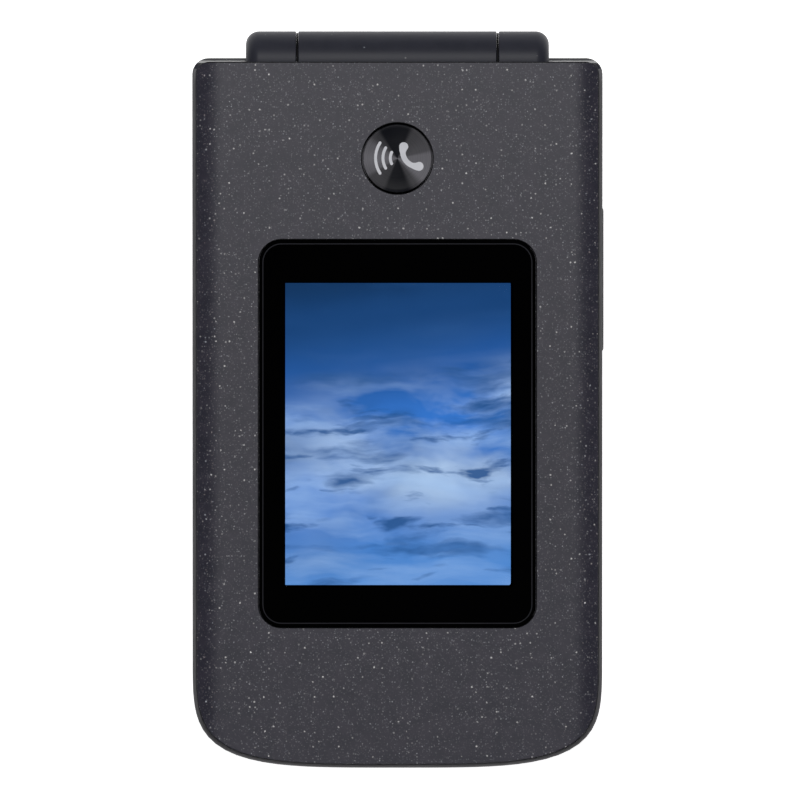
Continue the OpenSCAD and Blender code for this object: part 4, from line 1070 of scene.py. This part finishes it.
def makeButton():
    low, rimTop, top = button["levels"]
    radius, rim = button["radius"], button["radius"] + button["rim"]
    levels = [(rim, low), (rim, rimTop), (radius, rimTop)]
    levels += within(radius, fillet(button["edge"], top))
    levels += [(radius - 0.5, top - 0.004), (radius - 0.62, top - 0.03)]
    levels += [(2.6, top - 0.042), (0.02, top - 0.05)]
    cap = disc("buttonCap", levels, button["at"], 128)
    finish(cap, "front_button", "spunMetal", "front_button")
    # a plain handset and three waves of sound
    levels = [top - depth for depth in button["marks"]]
    (x, y), ((dx, dy), size, turn) = button["at"], button["handset"]
    marks = [handset((x + dx, y + dy), size, turn, levels)]
    dx, dy = button["waveMiddle"]
    for radius, half in button["waves"]:
        path = arcPoints(x + dx, y + dy, radius, 180 - half, 180 + half, 10)
        marks.append(stroke(path, [button["waveHalf"]] * len(path), levels))
    finish(merged("buttonMarks", marks), "front_button", "silverPrint")


def makeMainWindow():
    (low, high), edge = mainWindow["levels"], mainWindow["edge"]
    glass = plate("mainWindow", *mainWindow["size"], mainWindow["radius"],
                  (*fillet(edge, low, False), (0, high - 0.05), (0.05, high)), mainWindow["at"], 12)
    finish(glass, "lid", "mainScreen", "inner_window")


def makeEarpieceWeave():
    # fine wires crossing each other behind the ear slot
    (low, high), (x, y) = earpiece["mesh"], earpiece["at"]
    w, h = [each + earpiece["spare"] for each in earpiece["slot"]]
    step, wire, middle = earpiece["pitch"], earpiece["wire"], (low + high) / 2
    across, along = int(w / step), int(h / step)
    standing = block("wire", (-wire / 2, -h / 2, low), (wire / 2, h / 2, middle))
    lying = block("wire", (-w / 2, -wire / 2, middle), (w / 2, wire / 2, high))
    piece = merged("earpieceWeave", [
        grown("standing", "row", standing, "steel", {
            "Count": across + 1, "Start": (x - across * step / 2, y, 0), "Step": (step, 0, 0)}),
        grown("lying", "row", lying, "steel", {
            "Count": along + 1, "Start": (x, y - along * step / 2, 0), "Step": (0, step, 0)}),
    ])
    finish(piece, "lid", "steel", "earpiece_mesh", weighted=False)


def makeBumpers():
    low, high = bumper["levels"]
    levels = roundedLevels(low, high, bumper["edge"], 0.05)
    shape = disc("bumper", within(bumper["radius"], levels), steps=40)
    piece = grownTurned("lidBumpers", shape, "rubber", 3, pairs(lid["screws"]))
    finish(piece, "lid", "rubber", "lid_bumpers")


def makeScrews(name, body, node, screw, sets):
    # each set says where its screws are, and the height of the head's face
    made = []
    head, thick, shaft, tip = [screw[each] for each in ("head", "thick", "shaft", "tip")]
    for places, face in sets:
        levels = [(0.01, face), (head - 0.12, face), (head, face + 0.12), (head, face + thick)]
        z, ridge = face + thick, 0.3
        while z + ridge < tip - 0.2:
            levels += [(shaft - 0.14, z), (shaft - 0.14, z + ridge * 0.3), (shaft, z + ridge * 0.6)]
            z += ridge
        levels += [(shaft - 0.14, z), (shaft - 0.3, tip)]
        shape = disc("screw", levels, steps=36)
        arm, width, depth = head * 0.62, head * 0.15, thick * 0.55
        combine(shape, [block("slot", (-arm, -width, face - 1), (arm, width, face + depth)),
                        block("slot", (-width, -arm, face - 1), (width, arm, face + depth))])
        made.append(grownTurned("screws", shape, "steel", len(made) + 5, places))
    finish(merged(name, made), body, "steel", node)


def makeLidScrews():
    makeScrews("lidScrews", "lid", "lid_screws", lid["screw"], [(pairs(lid["screws"]), lid["screwHead"])])


makeLidCover()
makeLidInnerCover()
makeWindow()
makeButton()
makeMainWindow()
makeEarpieceWeave()
makeBumpers()
makeLidScrews()
print("lid made")

# Keypad half: two shells, hinge washers, battery cover and label, camera window and screws
base = {
    "wall": 1.4,
    "face": 9.4,
    "bevel": 0.45,
    "backEdge": 2.6,
    "knuckleEnd": 1.8,
    "shaft": (1.75, 5.6),      # radius and depth of the shaft's bore
    # heights of the band painted as a highlight across the shoulders
    "bush": (2.6, 19.7),       # radius of the bush's bore, and where it ends
    "highlightBand": (8.95, 9.85),
    "screws": ((22.9, 28.8), (22.0, -41.5)),
    "screwHeads": (0.3, 1.4),
    "screw": {"head": 1.44, "thick": 1.0, "shaft": 0.8, "tip": 8.4},
    "boss": 2.1,
    "bores": (0.8, 0.9),       # radius of the screws' bores in the front and in the back shell
    "jack": {"y": 34.2, "z": 4.1, "radius": 2.8},
    "port": {"z": 4.97, "size": (9.14, 3.46)},
    "microphone": (9.0, -44.9),
}
keys = {
    "size": (15.2, 10.8),
    "sideSize": (13.0, 6.2),
    "radius": 1.6,
    "low": 8.6,
    "rimTop": 9.35,
    "rim": 0.4,
    "top": 10.8,
    "gap": 0.1,
    "edge": 0.22,
    "columns": (-16.6, 0.0, 16.6),
    "rows": (8.4, -5.0, -18.4, -31.8),
    "sideX": 17.8,
    "sideRows": (34.6, 22.2),
    "numbers": ("key_1", "key_2", "key_3", "key_4", "key_5", "key_6", "key_7", "key_8", "key_9",
                "key_star", "key_0", "key_hash"),
    "sides": ("left_soft_key", "right_soft_key", "call_key", "end_key"),
    "figures": {"key_hash": "#", **{f"key_{i}": str(i) for i in range(10)}},
    "figure": 5.0,
    "star": (1.35, 0.2),       # half the length and half the width of a stroke
    "dash": (1.7, 0.28),
    "handset": 0.72,
    "handsetTurns": {"call_key": 45, "end_key": -90},
    "looks": {"call_key": "greenPrint", "end_key": "redPrint"},
    "print": (0.02, 0.012),    # how deep the marks reach, and how far they stand out
}
nav = {
    "at": (0.0, 28.4),
    "size": (20.0, 17.0),
    "radius": 5.0,
    "top": 10.6,
    "rimTop": 9.0,
    "gap": 0.25,
    "hole": 4.2,
    "rimRoom": (4.9, 9.3),
    "okRadius": 4.0,
    "okMark": (1.2, 0.85),
    "arrows": ((0, 7.1), (90, 6.1), (180, 7.1), (270, 6.1)),    # turn, and distance from the middle
    "arrow": 0.75,
    "arrowLevels": (0.14, 0.085),    # bottom and top of the arrows, below the ring's top
}
rocker = {
    "at": (16.25, 6.6),
    "size": (19.4, 2.4),
    "x": (26.05, 27.9),
    "edge": 0.35,
    "gap": 0.2,
}
numberPlaces = [(x, y) for y in keys["rows"] for x in keys["columns"]]
sidePlaces = [(side * keys["sideX"], y) for y in keys["sideRows"] for side in (-1, 1)]


def leanLimit(z):
    # the upper end of the keypad half leans back, so that the opened lid clears it
    start = phone["baseTop"] - phone["leanHeight"]
    slope = (phone["shoulder"] + phone["leanIn"]) / phone["leanHeight"]
    return phone["hingeY"] + phone["shoulder"] - max(z - start, 0.0) * slope


def baseEnvelope(name, levels):
    return loft(name, [[(x, min(y, leanLimit(z)), z) for x, y in baseOutline(inset)] for inset, z in levels])


def sideShape(piece, turn):
    # a shape drawn in X and Y and raised in Z, turned so that its Z runs along the given direction
    piece.data.transform(turn)
    return piece


def portCutter():
    w, h = base["port"]["size"]
    place = Matrix.Translation((0, phone["bottom"] - 2, base["port"]["z"]))
    return sideShape(plate("port", w, h, h / 2 - 0.01, upright(-6, 0)),
                     place @ Matrix.Rotation(math.radians(90), 4, "X"))


def jackCutter():
    jack = base["jack"]
    place = Matrix.Translation((-phone["halfWidth"], jack["y"], jack["z"]))
    return sideShape(disc("jack", upright(-1, 2.6, jack["radius"]), steps=48),
                     place @ Matrix.Rotation(math.radians(90), 4, "Y"))


def makeBaseFront():
    top, split, axis, reach = phone["baseTop"], phone["split"], phone["barrelEnd"], phone["outerKnuckle"]
    lean, screws = top - phone["leanHeight"], pairs(base["screws"])
    levels = [(0.08, split), (0, split + 0.08), (0, lean)]
    levels += [(0, z) for z in base["highlightBand"]] + fillet(base["bevel"], top, True, 5)
    shell = baseEnvelope("baseFront", levels)
    combine(shell, [slab("hollow", baseOutline, upright(split - 1, base["face"], base["wall"]))])
    wall = barrelRod(-reach - 1, reach + 1, phone["trough"] + phone["troughWall"])
    combine(wall, [baseEnvelope("room", [(0.02, z) for z in (split + 0.02, lean, top - 0.02)])], "INTERSECT")
    combine(shell, [wall], "UNION")
    radius, end = phone["barrel"], base["knuckleEnd"]
    for side in (-1, 1):
        levels = knuckleEdge(reach)
        turns = [math.radians(turn) for turn in range(0, 91, 10)]
        levels += [(axis - end + end * math.sin(t), radius - end + end * math.cos(t)) for t in turns]
        combine(shell, [barrelPiece("knuckle", [(side * x, r) for x, r in levels])], "UNION")
    combine(shell, rods(base["boss"], split, base["face"] + 0.3, screws), "UNION")
    combine(shell, [barrelRod(-reach, reach, phone["trough"])])
    (shaft, deep), (bush, bushEnd) = base["shaft"], base["bush"]
    cutAll(shell, [barrelRod(reach - 1, reach + deep, shaft), barrelRod(-bushEnd, 1 - reach, bush)])
    cuts = []
    low, gap = base["face"] - 1, keys["gap"]
    for places, (w, h) in ((numberPlaces, keys["size"]), (sidePlaces, keys["sideSize"])):
        cuts += [plate("keyHole", w + 2 * gap, h + 2 * gap, keys["radius"], flared(low, top, 0.1), at)
                 for at in places]
    (w, h), gap = nav["size"], nav["gap"]
    cuts += [
        plate("navHole", w + 2 * gap, h + 2 * gap, nav["radius"] + gap, flared(low, top, 0.1), nav["at"]),
        disc("microphoneHole", within(0.5, flared(low, top, 0.15)), base["microphone"], 32),
        portCutter(),
        jackCutter(),
    ]
    cutAll(shell, cuts)
    (y, z), (w, h), gap = rocker["at"], rocker["size"], rocker["gap"]
    slot = plate("rockerSlot", w + 2 * gap, h + 2 * gap, h / 2, ((0, -3), (0, -0.1), (-0.1, 0.0), (-0.1, 1)))
    turn = Matrix(((0, 0, 1, phone["halfWidth"]), (1, 0, 0, y), (0, 1, 0, z), (0, 0, 0, 1)))
    combine(shell, [sideShape(slot, turn)])
    combine(shell, rods(base["bores"][0], split - 1, 8.6, screws, 24))
    # the rim's bevel is painted lighter, a painted highlight where it catches light; then the end beside the
    # barrel, which takes the darker side finish, and a silver band across it, also a painted highlight
    low, high = base["highlightBand"]
    edge = top - base["bevel"]
    tagFaces(shell, 1, lambda at, way: edge < at.z < top - 0.01 and way.z > 0.1 and
             (abs(at.x) > phone["halfWidth"] - 0.8 or at.y < phone["bottom"] + phone["endCurve"]) and
             at.y < phone["hingeY"] - 1)
    tagFaces(shell, 2, lambda at, way: at.z > lean and way.y > 0.5 and abs(at.x) > axis)
    tagFaces(shell, 3, lambda at, way: low < at.z < high and way.y > 0.5 and abs(at.x) > axis)
    finish(shell, "base", ("shellPaint", "satinRim", "lidSide", "silverTrim"),
           "base_front_cover")


def makeWashers():
    # thin near-black washers close the gaps between the knuckles, painted shade for those gaps
    near, far, radius = phone["middleKnuckle"] + 0.02, phone["outerKnuckle"] - 0.02, phone["barrel"] - 0.22
    levels = ((near, radius - 0.05), (near + 0.04, radius), (far - 0.04, radius), (far, radius - 0.05))
    washers = []
    for side in (-1, 1):
        washers.append(barrelPiece("washer", [(side * x, r) for x, r in levels]))
        combine(washers[-1], [barrelRod(side * (near - 1), side * (far + 1), 2.7)])
    finish(merged("hingeWashers", washers), "lid", "lidEdge")


def rearLevels(top):
    edge = base["backEdge"]
    return [(edge * (1 - math.cos(math.radians(t))), edge - edge * math.sin(math.radians(t)))
            for t in range(90, 0, -9)] + [(0.0, edge), (0.0, top - 0.08), (0.08, top)]


battery = {
    "at": (0.0, -9.0),
    "well": (44.6, 56.6),
    "depth": 5.3,
    "contacts": ((-5.2, 18, 2.1), (5.2, 21, 7)),
    "cover": {"half": 24.5, "top": 22.0, "room": 1.15, "thick": 1.1, "edge": 0.18, "tongues": (-29.0, -5.0)},
    "grip": {"count": 7, "pitch": 1.3, "width": 13.0, "at": 13.5, "rib": 0.35, "deep": 0.35},
    "label": {"size": (36.0, 48.0), "radius": 0.8, "levels": (1.17, 1.2)},
}
grille = {
    "at": (13.2, 33.2),
    "count": 5,
    "pitch": 1.8,
    "slot": (9.6, 0.9),
}
cameraHole = {
    "at": (0.0, 34.0),
    "pocket": 4.1,
    "depth": 0.8,
    "lens": 3.0,
    # radius and height of the window's and the ring's outlines
    "glass": ((0.01, 0.17), (3.0, 0.17), (3.7, 0.16), (3.85, 0.2), (3.98, 0.32), (3.98, 0.75)),
    "ring": ((4.22, 0.04), (4.1, 0.0), (4.0, 0.0), (3.99, 0.06), (3.99, 0.14), (4.24, 0.14)),
    "ringBore": 3.99,
}


def makeBaseRear():
    split, fit, cover, screws = phone["split"], phone["fit"], battery["cover"], base["screws"]
    half, (w, h), camera = cover["half"], battery["well"], cameraHole["at"]
    shell = slab("baseRear", baseOutline, rearLevels(split))
    combine(shell, [slab("hollow", baseOutline, upright(1.2, split + 1, base["wall"]))])
    ledge = slab("ledge", baseOutline, upright(1.0, 2.3, base["wall"] - 0.05))
    combine(ledge, [block("room", (-half - 1, -60, 0), (half + 1, cover["top"] + 1, 4))], "INTERSECT")
    combine(shell, [ledge], "UNION")
    combine(shell, [plate("well", w + 2, h + 2, 1.5, upright(0.7, 6.0), battery["at"])], "UNION")
    combine(shell, rods(base["boss"], 1.0, split, pairs(screws)), "UNION")
    combine(shell, [block("coverRoom", (-half - fit, -60, -1),
                          (half + fit, cover["top"] + fit, cover["room"]))])
    combine(shell, [plate("bay", w, h, 0.6, upright(-1, battery["depth"]), battery["at"])])
    for y in cover["tongues"]:
        combine(shell, [block("tongueRoom", (-half - 0.6, y - 5.2, 0.5), (half + 0.6, y + 10.2, 1.0))])
    combine(shell, [block("contactRoom", *battery["contacts"])])
    pocket, depth = cameraHole["pocket"], cameraHole["depth"]
    seat = ((pocket + 0.15, -0.5), (pocket + 0.15, 0.0), (pocket, 0.15), (pocket, depth))
    cuts = [disc("cameraSeat", seat, camera)]
    for i in range(grille["count"]):
        place = (grille["at"][0], grille["at"][1] + grille["pitch"] * (i - (grille["count"] - 1) / 2))
        cuts.append(plate("slot", *grille["slot"], grille["slot"][1] / 2 - 0.01,
                          ((-0.1, -0.5), (-0.1, 0.0), (0, 0.12), (0, 3)), place))
    cutAll(shell, cuts + [portCutter(), jackCutter()])
    combine(shell, rods(cameraHole["lens"], 0.2, 3, [camera]))
    for place, head in zip(screws, base["screwHeads"]):
        combine(shell, rods(base["screw"]["head"] + 0.1, -1, head + 1, pairs([place]), 48))
        combine(shell, rods(base["bores"][1], -1, split + 1, pairs([place]), 24))
    finish(shell, "base", "shellPaint", "base_rear_cover")


def makeBatteryCover():
    cover = battery["cover"]
    panel = slab("batteryCover", baseOutline, rearLevels(phone["split"]))
    half, edge, top, thick = cover["half"], cover["edge"], cover["top"], cover["thick"]
    room = loft("room", [[(-half + inset, -60, z), (half - inset, -60, z), (half - inset, top - inset, z),
                          (-half + inset, top - inset, z)]
                         for inset, z in ((edge, -0.01), (0, edge), (0, thick))])
    combine(panel, [room], "INTERSECT")
    for side in (-1, 1):
        for y in cover["tongues"]:
            combine(panel, [block("tongue", (side * half - 0.5, y, 0.5), (side * half + 0.5, y + 10, 0.9))],
                    "UNION")
    # a sunk patch with raised ribs, to push the cover with a thumb
    grip = battery["grip"]
    w, h, deep = grip["width"], grip["pitch"] * (grip["count"] + 0.4), grip["deep"]
    combine(panel, [plate("gripRoom", w + 1.4, h, 1.2, ((-0.15, -0.5), (-0.15, 0.0), (0, 0.15), (0, deep)),
                          (0, grip["at"]))])
    finish(panel, "battery_cover", "shellPaint", "battery_cover")
    rib = grip["rib"]
    shape = plate("rib", w, rib * 2, rib - 0.01, [*fillet(0.12, 0.04, False), (0, deep + 0.02)], steps=5)
    ribs = grown("gripRibs", "row", shape, "shellPaint", {
        "Count": grip["count"], "Step": (0, grip["pitch"], 0),
        "Start": (0, grip["at"] - grip["pitch"] * (grip["count"] - 1) / 2, 0)})
    finish(ribs, "battery_cover", "shellPaint")


def makeBatteryLabel():
    label = battery["label"]
    paper = plate("batteryLabel", *label["size"], label["radius"], upright(*label["levels"]), battery["at"])
    finish(paper, "base", "labelPaper")


def makeCameraWindow():
    at = cameraHole["at"]
    finish(disc("cameraWindow", cameraHole["glass"], at), "base", "cameraGlass",
           "camera_window")
    ring = disc("cameraRing", cameraHole["ring"], at)
    combine(ring, rods(cameraHole["ringBore"], -1, 2, [at]))
    finish(ring, "base", "satinRim")


def makeBaseScrews():
    places = [pairs([place]) for place in base["screws"]]
    makeScrews("baseScrews", "base", "base_screws", base["screw"], list(zip(places, base["screwHeads"])))


makeBaseFront()
makeWashers()
makeBaseRear()
makeBatteryCover()
makeBatteryLabel()
makeCameraWindow()
makeBaseScrews()
print("keypad half made")


# Keys, each on its own body
def makeKey(name, at, size):
    low, rimTop, top = keys["low"], keys["rimTop"], keys["top"]
    levels = [(-keys["rim"], low), (-keys["rim"], rimTop), (0, rimTop)]
    levels += fillet(keys["edge"], top - 0.03) + [(1.1, top - 0.008), (2.6, top)]
    piece = plate(name.replace("_", "") + "Cap", *size, keys["radius"], levels, at)
    finish(piece, name, "keyPlastic", name)


def keyMark(name, at, levels):
    x, y = at
    if name in keys["figures"]:
        return [lettering(keys["figures"][name], keys["figure"], (x, y - 0.1), *levels)]
    if name == "key_star":
        reach, half = keys["star"]
        return [bar(around(x, y, -reach, turn), around(x, y, reach, turn), half, levels)
                for turn in (30, 90, 150)]
    if name in keys["handsetTurns"]:
        return [handset(at, keys["handset"], keys["handsetTurns"][name], levels)]
    reach, half = keys["dash"]
    return [bar((x - reach, y), (x + reach, y), half, levels)]


def makeLegend(name, at):
    # figures and signs printed on the key's top
    deep, proud = keys["print"]
    marks = keyMark(name, at, (keys["top"] - deep, keys["top"] + proud))
    piece = marks[0]
    if len(marks) > 1:
        combine(piece, marks[1:], "UNION")
    piece.name = name.replace("_", "") + "Mark"
    finish(piece, name, keys["looks"].get(name, "silverPrint"), weighted=False)


for name, at in zip(keys["numbers"], numberPlaces):
    makeKey(name, at, keys["size"])
    makeLegend(name, at)
for name, at in zip(keys["sides"], sidePlaces):
    makeKey(name, at, keys["sideSize"])
    makeLegend(name, at)


def makeNavRing():
    low, rimTop, top = keys["low"], nav["rimTop"], nav["top"]
    levels = [(-0.5, low), (-0.5, rimTop), (0, rimTop), *fillet(0.25, top)]
    levels += [(1.6, top - 0.02), (2.2, top - 0.1)]
    ring = plate("navRing", *nav["size"], nav["radius"], levels, nav["at"], 12)
    levels = flared(low - 1, top - 0.1, 0.15)
    combine(ring, [disc("hole", within(nav["hole"], levels), nav["at"])])
    radius, high = nav["rimRoom"]
    combine(ring, rods(radius, low - 1, high, [nav["at"]]))
    finish(ring, "nav_ring", "ringMetal", "nav_ring")


def makeOkKey():
    radius, rimTop, top = nav["okRadius"], nav["rimTop"], nav["top"]
    levels = [(radius + 0.6, keys["low"]), (radius + 0.6, rimTop), (radius, rimTop)]
    levels += within(radius, fillet(0.3, top - 0.05))
    levels += [(2.4, top - 0.14), (0.02, top - 0.18)]
    finish(disc("okCap", levels, nav["at"]), "ok_key", "keyPlastic", "ok_key")
    outer, inner = nav["okMark"]
    mark = disc("okMark", upright(top - 0.3, top - 0.14, outer), nav["at"], 48)
    combine(mark, rods(inner, top - 1, top + 1, [nav["at"]], 48))
    finish(mark, "ok_key", "silverPrint")


def makeNavArrows():
    arrows = []
    for turn, away in nav["arrows"]:
        middle = around(*nav["at"], away, turn)
        corners = [around(*middle, nav["arrow"], turn + third) for third in (0, 120, 240)]
        arrows.append(loft("arrow", [[(x, y, nav["top"] - depth) for x, y in corners]
                                     for depth in nav["arrowLevels"]]))
    finish(merged("navArrows", arrows), "nav_ring", "silverPrint", weighted=False)


def makeRocker():
    (y, z), (w, h), (near, far) = rocker["at"], rocker["size"], rocker["x"]
    piece = plate("rockerBar", w, h, h / 2 - 0.2, [(0, near - far), *fillet(rocker["edge"], 0.0)])
    sideShape(piece, Matrix(((0, 0, 1, far), (1, 0, 0, y), (0, 1, 0, z), (0, 0, 0, 1))))
    finish(piece, "volume_rocker", "innerPlastic", "volume_rocker")


makeNavRing()
makeOkKey()
makeNavArrows()
makeRocker()
print("keys made")


# Every carried-over solid gets the finish of what it is
carried = {
    "screenPicture": ("outer_display",),
    "darkScreen": ("inner_display",),
    "circuitBoard": ("lid_board", "main_board"),
    "tin": ("front_button_switch", "display_frame", "lid_magnet", "shield_cans", "usb_connector",
            "card_holder", "vibration_motor", "side_switches", "nav_pivot"),
    "steel": ("hinge_module", "hinge_shaft", "hinge_bush"),
    "gold": ("battery_contacts", "microphone", "antenna"),
    "blackPlastic": ("earpiece", "audio_jack", "loudspeaker", "camera_module"),
    "flexFilm": ("hinge_flex", "base_flex"),
    "wrap": ("battery",),
    "domeFilm": ("dome_sheet",),
    "clearRubber": ("keymat",),
}


def dressNodes():
    for look, nodes in carried.items():
        for node in nodes:
            solid = bpy.data.objects[node]
            if solid.material_slots:
                for holder in solid.material_slots:
                    holder.material = materials[look]
            else:
                solid.data.materials.append(materials[look])
    print("carried-over solids dressed:", sum(len(nodes) for nodes in carried.values()))


dressNodes()


# Floor, lamps and the world's light
studio = {
    "floorSize": 40.0,
    "floorLevel": -0.00005,
    "floorGlow": 0.9,
    # height above the horizon from -1 to 1 as a share, and how bright the world is there
    "world": ((0.0, 0.25), (0.5, 0.25), (0.62, 0.18), (0.85, 0.12), (0.95, 0.02), (1.0, 0.0)),
    "lamps": (
        # name, place, lean about X in degrees, size, power
        ("backSoftbox", (0.0, 0.5, 1.18), 0, (0.4, 0.5), 11.0),
        ("frontSoftbox", (0.0, -0.9, 0.3), 71.5, (0.6, 0.3), 3.0),
    ),
}


def makeFloor():
    # its glow shows only to the camera and in reflections, and it is clear from below
    size, level = studio["floorSize"] / 2, studio["floorLevel"]
    mesh = bpy.data.meshes.new("floor")
    corners = [(-size, -size, level), (size, -size, level), (size, size, level), (-size, size, level)]
    mesh.from_pydata(corners, [], [(0, 1, 2, 3)])
    floor = newObject("floor", mesh)
    material, tree, shader = newMaterial("floorSheet", {"Base Color": (0.9, 0.9, 0.9, 1), "Roughness": 0.9})
    output = tree.nodes["Material Output"]
    path = addNode(tree, "ShaderNodeLightPath").outputs
    seen = mathNode(tree, "MAXIMUM", path["Is Camera Ray"],
                    mathNode(tree, "MAXIMUM", path["Is Glossy Ray"], path["Is Transmission Ray"]))
    glow = addNode(tree, "ShaderNodeEmission", {"Color": (1, 1, 1, 1), "Strength": studio["floorGlow"]})
    both = addNode(tree, "ShaderNodeAddShader", {0: glow.outputs[0], 1: shader.outputs[0]})
    lit = addNode(tree, "ShaderNodeMixShader", {0: seen, 1: shader.outputs[0], 2: both.outputs[0]})
    clear = addNode(tree, "ShaderNodeBsdfTransparent")
    below = addNode(tree, "ShaderNodeNewGeometry").outputs["Backfacing"]
    whole = addNode(tree, "ShaderNodeMixShader", {0: below, 1: lit.outputs[0], 2: clear.outputs[0]})
    tree.links.new(whole.outputs[0], output.inputs["Surface"])
    mesh.materials.append(material)


def makeWorld():
    world = bpy.data.worlds.new("studio")
    world.use_nodes = True
    tree = world.node_tree
    back = tree.nodes["Background"]
    place = addNode(tree, "ShaderNodeTexCoord").outputs["Generated"]
    rise = addNode(tree, "ShaderNodeSeparateXYZ", {"Vector": place}).outputs["Z"]
    share = mathNode(tree, "ADD", mathNode(tree, "MULTIPLY", rise, 0.5), 0.5)
    glow = greyRamp(tree, share, studio["world"])
    seen = addNode(tree, "ShaderNodeLightPath").outputs["Is Camera Ray"]
    tree.links.new(colourMix(tree, seen, glow, (1, 1, 1, 1)), back.inputs["Color"])
    bpy.context.scene.world = world


def makeLamps():
    for name, place, lean, (w, h), power in studio["lamps"]:
        lamp = bpy.data.lights.new(name, "AREA")
        lamp.shape = "RECTANGLE"
        lamp.size = w
        lamp.size_y = h
        lamp.energy = power
        holder = newObject(name, lamp)
        holder.location = place
        holder.rotation_euler.x = math.radians(lean)
        holder.visible_camera = False


makeFloor()
makeWorld()
makeLamps()
bpy.context.scene.view_settings.view_transform = "Standard"
print("stage set")
